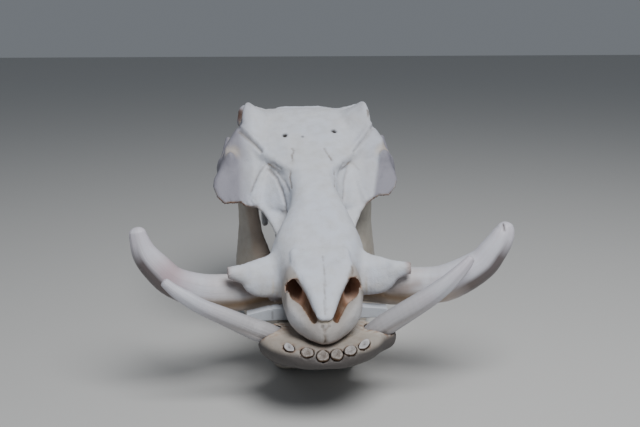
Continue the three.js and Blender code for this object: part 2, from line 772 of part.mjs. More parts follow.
function geometryOf(positions, triangles) {
  const geometry = new THREE.BufferGeometry();
  geometry.setAttribute("position", new THREE.Float32BufferAttribute(positions.flat(), 3));
  geometry.setIndex(triangles.flat());
  return mergeVertices(geometry.toNonIndexed(), 1e-4);
}

// A tusk: a round section with a lengthwise groove, carried along a smooth curve from root to rounded tip.
function tuskGeometry(stations, grow = 0, groove = TUSK_GROOVE.depth) {
  const { steps, sides } = TUSK_MESH;
  const curve = new THREE.CatmullRomCurve3(stations.map(([x, y, z]) => new THREE.Vector3(x, y, z)));
  const rows = stations.map((s, i) => [i / (stations.length - 1), s[3]]);
  const positions = [];
  const triangles = [];
  for (let i = 0; i <= steps; i++) {
    const t = i / steps;
    const centre = curve.getPoint(t);
    const along = curve.getTangent(t);
    const front = new THREE.Vector3(0, -1, 0).addScaledVector(along, along.y).normalize();
    const up = new THREE.Vector3().crossVectors(along, front).normalize();
    const late = share(t, 1 - TUSK_TIP.length, 1);
    const thick = rowAt(rows, t)[1] * mix(TUSK_TIP.thick, 1, Math.sqrt(1 - late * late));
    for (let k = 0; k < sides; k++) {
      const angle = (2 * Math.PI * k) / sides;
      const dip = groove * Math.exp(-(((angle - TUSK_GROOVE.at) / TUSK_GROOVE.width) ** 2));
      const r = thick * (1 - dip) + grow;
      const point = centre.clone().addScaledVector(front, r * Math.cos(angle));
      positions.push(point.addScaledVector(up, r * Math.sin(angle)).toArray());
    }
  }
  const rootPole = positions.push(curve.getPoint(0).toArray()) - 1;
  const tip = curve.getPoint(1).addScaledVector(curve.getTangent(1), 1 + grow);
  const tipPole = positions.push(tip.toArray()) - 1;
  for (let k = 0; k < sides; k++) {
    const next = (k + 1) % sides;
    for (let i = 0; i < steps; i++) {
      const [a, b] = [i * sides + k, i * sides + next];
      triangles.push([a, b, b + sides], [a, b + sides, a + sides]);
    }
    triangles.push([rootPole, next, k], [tipPole, steps * sides + k, steps * sides + next]);
  }
  return facingOut(geometryOf(positions, triangles));
}

// Turns a closed mesh right side out.
function facingOut(geometry) {
  const p = geometry.getAttribute("position");
  const order = geometry.getIndex().array;
  const [a, b, c] = [new THREE.Vector3(), new THREE.Vector3(), new THREE.Vector3()];
  let volume = 0;
  for (let i = 0; i < order.length; i += 3) {
    a.fromBufferAttribute(p, order[i]);
    b.fromBufferAttribute(p, order[i + 1]);
    c.fromBufferAttribute(p, order[i + 2]);
    volume += a.dot(b.cross(c));
  }
  for (let i = 0; volume < 0 && i < order.length; i += 3)
    [order[i], order[i + 1]] = [order[i + 1], order[i]];
  return geometry;
}

// A worn peg tooth with a domed face, standing in its socket.
function pegGeometry([x, y, z, width, depth], grow = 0) {
  const lift = FRONT_SOCKET_LIFT * grow;
  const full = 1 + grow / width;
  const profile = [
    [0, -FRONT_TOOTH.root - grow],
    [FRONT_TOOTH.rootWidth + grow, -FRONT_TOOTH.root - grow],
    [full, -FRONT_TOOTH.neck],
    [full, FRONT_TOOTH.rim + lift],
    [FRONT_TOOTH.domeWidth, FRONT_TOOTH.dome + lift],
    [0, FRONT_TOOTH.dome + lift],
  ];
  const peg = new THREE.LatheGeometry(profile.map(([r, h]) => new THREE.Vector2(r, h)), 8);
  peg.rotateX(Math.PI / 2);
  peg.scale(width, depth, 1);
  peg.rotateX(FRONT_TOOTH.tilt);
  peg.translate(x, y, z);
  return closed(peg);
}

// A cheek tooth: a rounded block that follows the slope of the bite.
function molarGeometry({ y, length, width }, side, upper, grow = 0) {
  const shape = new THREE.Shape().absellipse(0, 0, width + grow, length + grow, 0, Math.PI * 2);
  const depth = BITE.height + grow;
  const block = new THREE.ExtrudeGeometry(shape, { depth, bevelEnabled: false, curveSegments: 6 });
  block.translate(0, 0, upper ? BITE.gap : -BITE.gap - depth);
  block.rotateX(Math.atan(BITE.slope));
  block.translate(side * BITE.x, y, BITE.z + BITE.slope * (y - BITE.y));
  return closed(block);
}

// Only positions, with shared corners merged.
function closed(geometry) {
  geometry.deleteAttribute("normal");
  geometry.deleteAttribute("uv");
  return facingOut(mergeVertices(geometry, 1e-4));
}

const wasm = await Module();
wasm.setup();

function solidOf(geometry) {
  return new wasm.Manifold(
    new wasm.Mesh({
      numProp: 3,
      vertProperties: geometry.getAttribute("position").array,
      triVerts: new Uint32Array(geometry.getIndex().array),
    }),
  );
}

function geometryFrom(solid) {
  const mesh = solid.getMesh();
  const geometry = new THREE.BufferGeometry();
  geometry.setAttribute("position", new THREE.BufferAttribute(mesh.vertProperties, 3));
  geometry.setIndex(new THREE.BufferAttribute(mesh.triVerts, 1));
  return geometry;
}

const tableBlock = new THREE.BoxGeometry(TABLE_BLOCK.width, TABLE_BLOCK.length, TABLE_BLOCK.height);
tableBlock.translate(0, MIDDLE_Y, -TABLE_BLOCK.height / 2);

const tusks = {
  upper_tusk_left: UPPER_TUSK_LEFT,
  upper_tusk_right: UPPER_TUSK_RIGHT,
  lower_tusk_left: LOWER_TUSK_LEFT,
  lower_tusk_right: LOWER_TUSK_RIGHT,
};

const skull = new THREE.Group();
skull.position.set(-MIDDLE_X, -MIDDLE_Y, 0);

function add(name, geometry, material) {
  const mesh = new THREE.Mesh(geometry, new THREE.MeshStandardMaterial({ metalness: 0, ...material }));
  mesh.name = name;
  skull.add(mesh);
}

const boneOf = (field, grid) => solidOf(simplified(surfaceOf(field, grid), grid.faces));
let craniumSolid = boneOf(cranium, CRANIUM_GRID);
let mandibleSolid = boneOf(mandible, MANDIBLE_GRID).subtract(solidOf(closed(tableBlock)));

for (const [name, stations] of Object.entries(tusks)) {
  add(name, tuskGeometry(stations), IVORY);
  const room = solidOf(tuskGeometry(stations, SOCKET_GAP, 0));
  craniumSolid = craniumSolid.subtract(room);
  mandibleSolid = mandibleSolid.subtract(room);
}

FRONT_TEETH.forEach((tooth, i) => {
  add(`lower_incisor_${i + 1}`, pegGeometry(tooth), ENAMEL);
  mandibleSolid = mandibleSolid.subtract(solidOf(pegGeometry(tooth, SOCKET_GAP)));
});

for (const tooth of CHEEK_TEETH)
  for (const [sideName, side] of [["left", 1], ["right", -1]]) {
    add(`upper_${tooth.name}_${sideName}`, molarGeometry(tooth, side, true), ENAMEL);
    add(`lower_${tooth.name}_${sideName}`, molarGeometry(tooth, side, false), ENAMEL);
    craniumSolid = craniumSolid.subtract(solidOf(molarGeometry(tooth, side, true, SOCKET_GAP)));
    mandibleSolid = mandibleSolid.subtract(solidOf(molarGeometry(tooth, side, false, SOCKET_GAP)));
  }

const strip = new THREE.BoxGeometry(...STRIP.size);
strip.translate(...STRIP.at);
add("spacer_strip", strip, WHITE_STRIP);
add("cranium", geometryFrom(craniumSolid), BONE);
add("mandible", geometryFrom(mandibleSolid), JAW_BONE);

export default skull;
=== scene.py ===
"""A warthog skull with its lower jaw, standing on a plain pale floor.

Shapes are worked out in millimetres in a drawing frame: the tip of the nose bone is at X 0, Y 0, the table
is Z 0, the snout points along -Y and the skull's own left is +X. The bones are distance fields: a field
gives about how far a point lies outside the bone, negative inside. The surface where the field is zero is
meshed on a grid, and fine relief is added along its normals.
"""

import bpy
import numpy as np
from mathutils import Matrix, Vector


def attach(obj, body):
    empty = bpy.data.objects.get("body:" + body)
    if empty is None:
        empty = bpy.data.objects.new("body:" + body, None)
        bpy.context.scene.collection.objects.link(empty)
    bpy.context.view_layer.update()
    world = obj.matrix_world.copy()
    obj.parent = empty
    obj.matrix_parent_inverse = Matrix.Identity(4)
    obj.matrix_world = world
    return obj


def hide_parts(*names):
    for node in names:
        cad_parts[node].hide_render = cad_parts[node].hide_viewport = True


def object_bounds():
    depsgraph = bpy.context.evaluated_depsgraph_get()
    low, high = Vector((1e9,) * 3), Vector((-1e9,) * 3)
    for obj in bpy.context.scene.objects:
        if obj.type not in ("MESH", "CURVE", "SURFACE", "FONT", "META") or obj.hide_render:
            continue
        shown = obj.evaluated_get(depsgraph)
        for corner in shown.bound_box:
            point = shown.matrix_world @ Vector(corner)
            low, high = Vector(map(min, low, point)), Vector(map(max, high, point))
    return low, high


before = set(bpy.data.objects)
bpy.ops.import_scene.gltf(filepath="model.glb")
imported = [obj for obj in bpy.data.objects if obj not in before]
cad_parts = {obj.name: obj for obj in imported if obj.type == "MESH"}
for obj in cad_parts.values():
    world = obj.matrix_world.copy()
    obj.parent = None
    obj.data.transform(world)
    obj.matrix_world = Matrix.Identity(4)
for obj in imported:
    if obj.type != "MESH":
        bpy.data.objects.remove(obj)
frame_bounds = [list(map(float, corner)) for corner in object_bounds()]

MIDDLE = np.array([6.2, 170.8, 0.0])
MM = 0.001
CRANIUM_GRID = ([-121, -14, 68], [121, 366, 290])
MANDIBLE_GRID = ([-99, -22, -13], [99, 320, 190])
CELL = 1.6
MOST_TRIANGLES = 190000
SOCKET_GAP = 0.9

CAMERA = {"at": (-59.5, -651.3, 372.0), "turn": -4.75, "rise": 14.5, "lens": 43.9}

# A row is y, top, bottom, then half the width at the top, middle and bottom.
SNOUT_ROWS = [
    [46, 128, 86, 24, 36, 33],
    [70, 142, 88, 28, 38, 33],
    [95, 155.5, 92, 31, 45.5, 35],
    [112, 164.5, 95, 30, 48, 34],
    [126, 172, 97, 28, 45, 33],
    [140, 179.5, 99, 25, 40, 32],
    [155, 187.5, 101, 23, 34, 32],
    [172, 197, 104, 23, 28, 32],
    [200, 211, 110, 25, 29, 31],
    [225, 225, 122, 36, 31, 26],
    [250, 239, 136, 46, 33, 24],
    [289, 256, 146, 44, 38, 27],
    [310, 256, 147, 36, 41, 31],
    [332, 252, 147, 40, 44, 34],
]
NOSE_ROWS = [
    [4, 105.5, 100, 5.5, 6.5, 5],
    [11, 110, 101, 7.5, 8.5, 7],
    [25, 117.5, 105, 11.5, 13, 11],
    [35, 123, 109, 15, 16.5, 13.5],
    [48, 130, 115, 21.5, 23, 19],
    [60, 137, 120, 27, 28.5, 24],
    [82, 148.5, 128, 29, 30, 27],
]
MUZZLE_ROWS = [
    [-2, 91, 81, 3, 4, 3],
    [3, 96, 79, 9, 11, 7],
    [10, 101, 78, 16, 19, 12],
    [20, 106, 79, 25, 28, 20],
    [32, 112, 81, 32, 35, 27],
    [48, 127, 84, 32.5, 37.5, 33.5],
    [66, 138, 87, 31, 37.5, 33],
]
# The slope of bone from the snout's top edge down to the cheek.
SLOPE_ROWS = [
    [168, 188, 160, 16, 20, 22],
    [185, 198, 164, 20, 32, 45],
    [200, 205, 170, 22, 42, 60],
    [215, 212, 180, 27, 51, 70],
    [229, 219, 190, 30, 57, 74],
]
# The flat forehead: y, top, thickness, half width.
FOREHEAD_ROWS = [
    [192, 208, 12, 26],
    [203, 213.5, 13, 36],
    [215, 219.5, 14, 47],
    [231, 228.5, 16, 61],
    [250, 239, 18, 74],
    [266, 247.5, 20, 73],
    [280, 254, 19, 67],
    [290, 256.5, 18, 58],
    [304, 258, 16, 44],
]
PEAK = {"rise": 19, "from": 46, "to": 71, "y": 270, "length": 22}
DROOP = {"by": 6, "half": 60, "from": 250, "to": 225}
# The cheek wall seen from the front, as x and z, and how it leans back.
CHEEK_OUTLINE_RIGHT = [
    [26, 200],
    [42, 213],
    [60, 230],
    [73, 243],
    [81, 241],
    [89, 231],
    [95, 222],
    [95, 209],
    [99, 203],
    [107, 190],
    [108, 182],
    [103, 172],
    [95, 166],
    [78, 167],
    [71, 163],
    [60, 162],
    [53, 157],
    [45, 146],
    [39, 135],
    [34, 116],
    [26, 108],
]
CHEEK_OUTLINE_LEFT = [
    [26, 200],
    [42, 213],
    [60, 230],
    [73, 243],
    [81, 239],
    [89, 228],
    [92, 216],
    [92, 205],
    [99, 195],
    [101, 187],
    [98, 179],
    [89, 171],
    [77, 171],
    [65, 165],
    [56, 156],
    [49, 143],
    [43, 130],
    [35, 114],
    [26, 108],
]
CHEEK = {"start": 54, "lean": 0.85, "thickness": 16, "round": 6, "top": 5, "from": 202, "to": 234}
# Ridges and hollows of the cheek's face: the height, from x and z to x and z, and the width.
CHEEK_RELIEF = [
    [-3.2, 50, 205, 61, 170, 4.5],
    [3.6, 84, 214, 90, 184, 12],
    [2.4, 70, 206, 74, 180, 7],
]
# Swept bodies: x, y, z, half height along the tall direction and half thickness.
ARCH_PATH = [
    [88, 226, 194, 24, 7],
    [97, 244, 187, 23, 6.5],
    [100, 264, 184, 19, 6],
    [97, 288, 184, 16, 6.5],
    [84, 308, 184, 16, 8],
    [60, 321, 184, 18, 11],
]
CHEEK_SPUR_PATH = [[98, 262, 196, 9, 5], [92, 276, 222, 6, 4]]
WING_PATH = [
    [36, 96, 117, 24, 13],
    [50, 89, 116, 21, 10],
    [61, 84, 116.5, 18.5, 8],
    [69, 81, 118.5, 15, 7],
    [75, 79, 122.5, 10, 6.5],
    [90, 76, 125.5, 5.8, 5.5],
    [100, 75, 126, 5.5, 5],
]
WING_TALL = [0, 0.42, 0.91]
BEHIND_EYE_IN = 3.5
WING_END = [[108.5, 60, 122], [19, 60, 60]]
TUSK_SOCKET_PATH = [[16, 118, 102, 17, 17], [32, 115, 102, 19, 19], [46, 112, 101, 20.5, 20.5]]
NOSTRIL_PATH = [
    [9.5, 11, 99, 6, 2],
    [11, 15, 101.5, 9, 2.6],
    [15, 25, 107, 11, 3.2],
    [19.5, 35, 112, 12, 4.3],
    [25, 43, 113.5, 13, 7],
    [28, 52, 113.5, 13, 8],
    [25, 66, 115, 12, 8],
    [16, 88, 119, 9, 8],
]
RAMP_PATH = [[12, -2, 99, 5, 6], [20, 14, 107, 6, 10], [26, 32, 116, 6, 10]]
NOTCH_PATH = [[0, -7, 97, 5, 1.3], [0, -4, 84, 5, 1.5], [0, -1, 76, 5, 2]]
NAPE_PATH = [
    [0, 336, 247, 9, 7],
    [30, 338, 246, 9, 6],
    [56, 334, 232, 9, 6],
    [68, 324, 208, 10, 6],
    [66, 316, 186, 11, 8],
]
TOOTH_RIDGE_PATH = [[27, 118, 104, 10, 8], [28, 180, 110, 12, 11], [28, 232, 117, 12, 11]]
PALATE_WING_PATH = [[18, 226, 122, 15, 3.5], [17, 252, 128, 16, 3], [20, 276, 138, 12, 3]]
EAR_SPUR_PATH = [[45, 322, 172, 11, 8], [49, 316, 142, 8, 6], [50, 309, 112, 4, 4]]
BEHIND_EYE_PATH = [
    [54, 297, 252, 8, 5],
    [68, 299, 256, 7, 4],
    [75.5, 298, 254, 7, 3.5],
    [78, 296, 244, 7, 3.5],
]
EYE_SOCKET_PATH = [[58, 276, 244, 8, 10], [70, 278, 250, 11, 12.5], [86, 283, 254, 12, 14]]
UPRIGHT = [0, 0, 1]
BACKWARD = [0, 1, 0]
# Rounded lumps and hollows: the middle, then half the size along X, Y and Z.
EYE_WALL = [[60, 276, 240], [19, 21, 20]]
BACK_OF_SKULL = [[0, 320, 205], [66, 14, 48]]
EAR_CAPSULE = [[31, 296, 139], [11, 13, 15]]
NECK_KNOB = [[19, 338, 151], [13, 11, 13]]
CORD_HOLE = [[0, 342, 163], [12, 24, 11]]
NOSE_PASSAGE = [[0, 244, 124], [12, 30, 13]]
# Where the snout bends to its left: by how much, at which y and over what length.
BENDS = [[4, 148, 34], [2, 50, 28]]

CHIN_ROWS = [
    [-8, 67, 60, 8, 10, 7],
    [-2, 72, 57, 27, 29, 20],
    [6, 76, 55, 40, 42, 30],
    [18, 77.5, 51, 51, 52, 36],
    [34, 76, 44, 57, 58, 40],
    [52, 76, 35.5, 52, 53, 40],
    [66, 75.5, 29, 49, 50, 39],
    [75, 71.5, 25, 45, 47, 38],
    [96, 73, 15, 34, 40, 36],
    [116, 74, 6, 33, 40, 38],
    [130, 74, 0, 33, 40, 38],
]
CHIN_TROUGH_PATH = [[0, 26, 84, 10, 20], [0, 60, 80, 10, 16], [0, 100, 62, 26, 21], [0, 130, 50, 60, 24]]
JAW_OUTLINE = [
    [78, 66],
    [112, 80],
    [150, 84],
    [196, 90],
    [222, 98],
    [236, 122],
    [246, 150],
    [254, 172],
    [262, 175],
    [270, 165],
    [277, 154],
    [286, 163],
    [300, 164],
    [305, 156],
    [298, 140],
    [290, 110],
    [284, 72],
    [274, 38],
    [254, 14],
    [228, 2],
    [190, -3],
    [130, -3],
    [112, 6],
    [86, 22],
]
JAW_SPREAD = [[80, 26], [130, 31], [180, 39], [215, 49], [240, 61], [265, 71], [300, 76]]
JAW = {"thickness": 14, "thin": 8, "from": 70, "to": 120, "slant": 1.15}
JAW_CONDYLE = [[76, 296, 160], [13, 8, 7]]
JAW_SOCKET_LEFT = [[58, 48, 66], [15, 17, 13]]
JAW_SOCKET_RIGHT = [[-45, 46, 66], [15, 17, 13]]

# Tusks: x, y, z, then half the thickness, from the root to the tip.
UPPER_TUSK_LEFT = [
    [26, 120, 96, 15],
    [50, 113, 97, 18],
    [74.5, 105, 97.5, 19.4],
    [94, 94, 100.5, 19.4],
    [116, 85, 104, 18.6],
    [130, 79, 108.8, 18.4],
    [147, 74, 118.8, 17.2],
    [162.3, 71, 130.3, 15.4],
    [171, 70, 142, 13.9],
    [178.5, 70, 153.5, 12.2],
    [182.8, 71, 163.5, 9.8],
    [183, 72, 172.3, 5.4],
]
UPPER_TUSK_RIGHT = [
    [-26, 122, 95, 15],
    [-47, 117, 94.5, 18],
    [-71, 109, 94, 19.2],
    [-94.5, 96, 98, 18.6],
    [-118, 84, 105, 17.2],
    [-142, 74, 118.5, 14.8],
    [-156, 71, 133.5, 14],
    [-166.5, 70, 148, 12],
    [-171.5, 70, 163, 9],
    [-173.8, 71, 175, 7.2],
]
LOWER_TUSK_LEFT = [
    [44, 52, 62, 10],
    [58, 46, 76, 10.8],
    [75.7, 44, 88.7, 10.6],
    [102, 42, 106.6, 9.6],
    [118, 42, 118.8, 8.4],
    [129.6, 43, 129.3, 7],
    [138.2, 44, 138.2, 5.4],
    [144, 45, 145.3, 3.6],
]
LOWER_TUSK_RIGHT = [
    [-40, 50, 66, 10],
    [-57, 44, 76, 10.4],
    [-69, 44, 81.3, 9.8],
    [-92.7, 42, 94, 8.5],
    [-112.8, 41, 104.4, 7.3],
    [-124.6, 41, 112.2, 7],
    [-137, 42, 120.5, 5.8],
    [-148, 43, 130.3, 4.2],
]
TUSKS = {
    "upper_tusk_left": UPPER_TUSK_LEFT,
    "upper_tusk_right": UPPER_TUSK_RIGHT,
    "lower_tusk_left": LOWER_TUSK_LEFT,
    "lower_tusk_right": LOWER_TUSK_RIGHT,
}
# Worn front teeth: x, y, z of the worn face, half the width and depth, and how far the oval is turned.
FRONT_TEETH = [
    [-33.2, 6, 76.3, 5.4, 3.5, -0.7],
    [-17, 0, 73.4, 5.9, 4.8, -0.2],
    [-3, -3, 71, 5.7, 5.3, 0],
    [9.8, -3, 72, 5.6, 5.3, 0],
    [22.5, 0, 74, 5.8, 4.6, 0.4],
    [36, 6, 77, 6.6, 3.6, 0.75],
]
FRONT_TILT = 0.72
CHEEK_TEETH = {"molar_2": (158, 9, 7), "molar_3": (197, 26, 7.6)}
TIP = 0.0038
TUSK_MESH = (160, 48)
GROOVE = {"depth": 0.09, "at": -0.42, "width": 0.3}
TUSK_SPLIT = [[180, 69, 173], [180, 65, 169], [180, 62, 166]]
TUSK_STAINS = [
    [[-93, 80, 118], [-80, 87, 110], [-67, 92, 97]],
    [[100, 76, 109], [88, 77, 104], [76, 80, 99]],
]
FRONT_ROOT = 11
# Seams, folds and edges of the face: depth (a ridge has less than 0), width, ink, and the line. The ink is
# the seams' own dark colour, and painted shade in the grooves and under the step at the forehead's front
# corners.
FACE_LINES = [
    (2.8, 2.0, 0.55, [[-78, 245, 239], [-70, 239, 233], [-60, 231, 225], [-54, 224, 219]]),
    (-2.0, 2.6, 0, [[-76, 250, 244], [-68, 244, 238], [-58, 236, 230], [-50, 227, 223]]),
    (2.0, 2.0, 0.3, [[77, 249, 241], [65, 235, 229], [53, 222, 218]]),
    (-1.4, 2.6, 0, [[76, 253, 245], [64, 240, 233], [52, 227, 222]]),
    (1.0, 1.4, 0.4, [[-66, 198, 178], [-58, 210, 194], [-50, 216, 204], [-41, 209, 208], [-32, 199, 203]]),
    (2.4, 1.9, 0.5, [[-45, 213, 200], [-37, 201, 192], [-32, 186, 181], [-29, 176, 169], [-28, 175, 160]]),
    (1.0, 1.3, 0.4, [[-36, 205, 198], [-29, 190, 191], [-24, 176, 183]]),
    (0.9, 1.1, 0.9, [
        [-19, 219, 223], [-17, 215, 221], [-20, 208, 217], [-19, 201, 212], [-23, 187, 197], [-22, 173, 187],
    ]),
    (0.9, 1.1, 0.9, [
        [18, 219, 222], [19, 213, 219], [24, 203, 213], [26, 192, 200], [28, 186, 195], [25, 168, 189],
    ]),
    (-1.8, 3.6, 0, [[-50, 214, 202], [-62, 200, 180], [-66, 194, 168]]),
    (1.6, 1.7, 0.35, [[44, 213, 201], [38, 196, 187], [36, 181, 172]]),
    (0.8, 1.4, 0.3, [[33, 200, 201], [38, 205, 207], [49, 217, 206], [57, 214, 198]]),
    (-1.2, 3, 0, [[85, 227, 216], [82, 216, 196], [72, 195, 174]]),
    (0.5, 0.9, 0.6, [[3, 70, 142], [3, 48, 131], [1.5, 31, 121], [0, 6, 107]]),
    (1.2, 0.9, 1.3, [[-26, 66, 141], [-26, 56, 135], [-27, 49, 129]]),
    (1.2, 0.9, 1.1, [[31, 60, 134], [31.5, 55, 131], [29, 50, 128]]),
    (1.5, 0.9, 1.2, [[-1, 1, 93], [-1, -1, 88], [-1, 1, 80]]),
    (1.2, 0.9, 0.9, [[-4, 5.5, 99], [-1, 1, 93], [4, 5.5, 99]]),
    (0, 1.0, 1.2, [[72.5, 260, 260], [72.5, 256, 254], [72.5, 254, 248]]),
]
# Small holes: depth, width, ink, and a short line. The ink is painted shade inside them.
FACE_HOLES = [
    (4, 1.9, 2.2, [[-26.3, 239, 234], [-25.6, 240.5, 235]]),
    (4, 1.9, 2.2, [[31.4, 245, 237.5], [30.6, 246.5, 238.5]]),
    (0.6, 1.1, 0.9, [[-6, 236.5, 233], [-6, 237.5, 233.5]]),
    (1.6, 1.3, 1.3, [[-2, 4, 98], [-2.4, 3.6, 97]]),
    (1.2, 1.1, 1.1, [[3.2, 4, 98], [3.4, 3.6, 97]]),
]
JAW_LINES = [
    (0.6, 0.9, 0.5, [[-24, 20, 80], [-25, 30, 80], [-26, 50, 78]]),
    (0.4, 0.8, 0.4, [[0, -10, 64], [0, 4, 76], [0, 40, 74]]),
]
BITE = {"x": 28, "y": 178, "z": 95.5, "slope": 0.14, "gap": 0.4, "height": 18}
STRIP = {"at": (-1.5, 82, 80.4), "size": (141, 12, 12.6)}
FAR = 24.0


def share(v, low, high):
    """How far v has come from low to high, kept between 0 and 1."""
    return np.clip((v - low) / (high - low), 0, 1)


def ease(v):
    """A smooth step: three times v squared less twice v cubed."""
    return v * v * (3 - 2 * v)


def length(*parts):
    """The root of the sum of the squares."""
    return np.sqrt(sum(part * part for part in parts))


def join(a, b, r):
    """The smaller of two fields, less a quarter of r times the square of their nearness."""
    near = np.maximum(r - np.abs(a - b), 0) / r
    return np.minimum(a, b) - near * near * r * 0.25


def carve(a, b, r):
    """Field a with field b cut away, the edge rounded by about r."""
    return -join(-a, b, r)


def row_at(rows, y):
    """The columns of a table at y: a cubic through the rows, flat beyond both ends."""
    rows = np.asarray(rows, float)
    last = len(rows) - 1
    y = np.clip(y, rows[0, 0], rows[last, 0])
    i = np.clip(np.searchsorted(rows[:, 0], y) - 1, 0, last - 1)
    a, b = rows[i], rows[i + 1]
    before, after = rows[np.maximum(i - 1, 0)], rows[np.minimum(i + 2, last)]
    step = b[:, :1] - a[:, :1]
    t = (y[:, None] - a[:, :1]) / step
    slope_in = (b - before) / (b[:, :1] - before[:, :1]) * step
    slope_out = (after - a) / (after[:, :1] - a[:, :1]) * step
    value = a + (2 * t**3 - 3 * t**2) * (a - b)
    value += (t**3 - 2 * t**2 + t) * slope_in + (t**3 - t**2) * slope_out
    return value.T[1:]


def smooth_path(stations, parts=3):
    """The stations with further ones between them, along a smooth curve."""
    stations = np.asarray(stations, float)
    rows = np.column_stack([np.arange(len(stations)), stations])
    return row_at(rows, np.linspace(0, len(stations) - 1, parts * (len(stations) - 1) + 1)).T


def rounded_box(a, b, c, r):
    """A rounded box: a, b and c are how far the point lies beyond each pair of faces."""
    a, b, c = a + r, b + r, c + r
    out = length(np.maximum(a, 0), np.maximum(b, 0), np.maximum(c, 0))
    return out + np.minimum(np.maximum(np.maximum(a, b), c), 0) - r


def loft(rows, r):
    """A body along Y. Its half width at height v from 0 to 1 is a parabola through the three given."""

    def field(x, y, z, side):
        top, bottom, w_top, w_middle, w_bottom = row_at(rows, y)
        v = np.clip((z - bottom) / (top - bottom), 0, 1)
        width = w_bottom * (1 - v) * (1 - 2 * v) + 4 * w_middle * v * (1 - v) + w_top * v * (2 * v - 1)
        ends = np.maximum(rows[0][0] - y, y - rows[-1][0])
        return rounded_box(np.abs(x) - width, ends, np.maximum(z - top, bottom - z), r)

    return field


def nearby(low, high, field):
    """The field only within FAR of a box. Further off, the distance to the box stands for it."""

    def bounded(x, y, z, side):
        gaps = [np.maximum(np.maximum(lo - v, v - hi), 0) for v, lo, hi in zip((x, y, z), low, high)]
        value = length(*gaps)
        near = value < FAR
        value[near] = field(x[near], y[near], z[near], side[near])
        return value

    return bounded


def sweep(stations, tall=UPRIGHT, parts=3):
    """A body swept along a path, its section an ellipse whose height lies along the tall direction."""
    path = smooth_path(stations, parts)
    up = np.array(tall, float) / np.linalg.norm(tall)
    reach = path[:, 3:5].max()

    def field(x, y, z, side):
        best = np.full(x.shape, np.inf)
        for a, b in zip(path[:-1], path[1:]):
            d = b[:3] - a[:3]
            px, py, pz = x - a[0], y - a[1], z - a[2]
            t = np.clip((px * d[0] + py * d[1] + pz * d[2]) / (d @ d), 0, 1)
            qx, qy, qz = px - t * d[0], py - t * d[1], pz - t * d[2]
            high = qx * up[0] + qy * up[1] + qz * up[2]
            out = np.sqrt(np.maximum(qx * qx + qy * qy + qz * qz - high * high, 0))
            tall_half = a[3] + (b[3] - a[3]) * t
            thick_half = a[4] + (b[4] - a[4]) * t
            best = np.minimum(best, oval(((out, thick_half), (high, tall_half))))
        return best

    return nearby(path[:, :3].min(0) - reach, path[:, :3].max(0) + reach, field)


def oval(pairs):
    """How far a point lies outside an ellipse or ellipsoid, from pairs of offset and half axis."""
    near = length(*(u / a for u, a in pairs))
    slope = length(*(u / (a * a) for u, a in pairs))
    return near * (near - 1) / np.maximum(slope, 1e-6)


def ellipsoid(centre, size):
    """An ellipsoid from its middle and half sizes."""

    def field(x, y, z, side):
        return oval([(v - c, s) for v, c, s in zip((x, y, z), centre, size)])

    return nearby(np.subtract(centre, size), np.add(centre, size), field)


def outline_distance(outline, u, v):
    """How far the point u, v lies outside a flat outline."""
    nearest = np.full(u.shape, np.inf)
    inside = np.zeros(u.shape, bool)
    for (ax, ay), (bx, by) in zip(outline[-1:] + outline[:-1], outline):
        ex, ey = bx - ax, by - ay
        t = np.clip(((u - ax) * ex + (v - ay) * ey) / (ex * ex + ey * ey), 0, 1)
        nearest = np.minimum(nearest, length(u - ax - t * ex, v - ay - t * ey))
        if ay != by:
            inside ^= ((ay > v) != (by > v)) & (u < ax + ex * (v - ay) / ey)
    return np.where(inside, -nearest, nearest)


def forehead(x, y, z, side):
    """The forehead plate, dished across its middle and rising to a peak over each eye."""
    top, thickness, half = row_at(FOREHEAD_ROWS, y)
    along = np.exp(-(((y - PEAK["y"]) / PEAK["length"]) ** 2))
    droop = DROOP["by"] * (x / DROOP["half"]) ** 2 * share(y, DROOP["from"], DROOP["to"])
    crown = top + PEAK["rise"] * ease(share(x, PEAK["from"], PEAK["to"])) * along - droop
    ends = np.maximum(FOREHEAD_ROWS[0][0] - y, y - FOREHEAD_ROWS[-1][0])
    return rounded_box(x - half, ends, np.maximum(z - crown, top - thickness - z), 4)


def cheek_sheet(x, y, z, side):
    """The cheek wall: the outline seen from the front, on a sheet that leans back."""
    middle = CHEEK["start"] + CHEEK["lean"] * z - CHEEK["top"] * ease(share(z, CHEEK["from"], CHEEK["to"]))
    for height, ax, az, bx, bz, width in CHEEK_RELIEF:
        t = np.clip(((x - ax) * (bx - ax) + (z - az) * (bz - az)) / ((bx - ax) ** 2 + (bz - az) ** 2), 0, 1)
        off = length(x - ax - t * (bx - ax), z - az - t * (bz - az))
        middle += height * np.exp(-((off / width) ** 2))
    through = (np.abs(y - middle) - CHEEK["thickness"] / 2) / np.hypot(1, CHEEK["lean"])
    value = np.empty(x.shape)
    for outline, on in ((CHEEK_OUTLINE_LEFT, side > 0), (CHEEK_OUTLINE_RIGHT, side <= 0)):
        value[on] = outline_distance(outline, np.abs(side[on]), z[on])
    return -join(-through, -value, CHEEK["round"])


def jaw_sheet(x, y, z, side):
    """One side of the jaw: the outline seen from the side, on a sheet that spreads outwards to the back."""
    (middle,) = row_at(JAW_SPREAD, y)
    thickness = JAW["thickness"] + (JAW["thin"] - JAW["thickness"]) * share(z, JAW["from"], JAW["to"])
    through = (np.abs(x - middle) - thickness) / JAW["slant"]
    return -join(-through, -outline_distance(JAW_OUTLINE, y, z), 9)


def one_sided(field):
    """A field on its own side only, where the others take the distance from the middle plane."""
    return lambda x, y, z, side: field(side, y, z, side)


def tusk_room(stations):
    """The room of a tusk with air round it."""
    rows = [[x, y, z, r + SOCKET_GAP, r + SOCKET_GAP] for x, y, z, r in stations]
    return one_sided(sweep(rows))


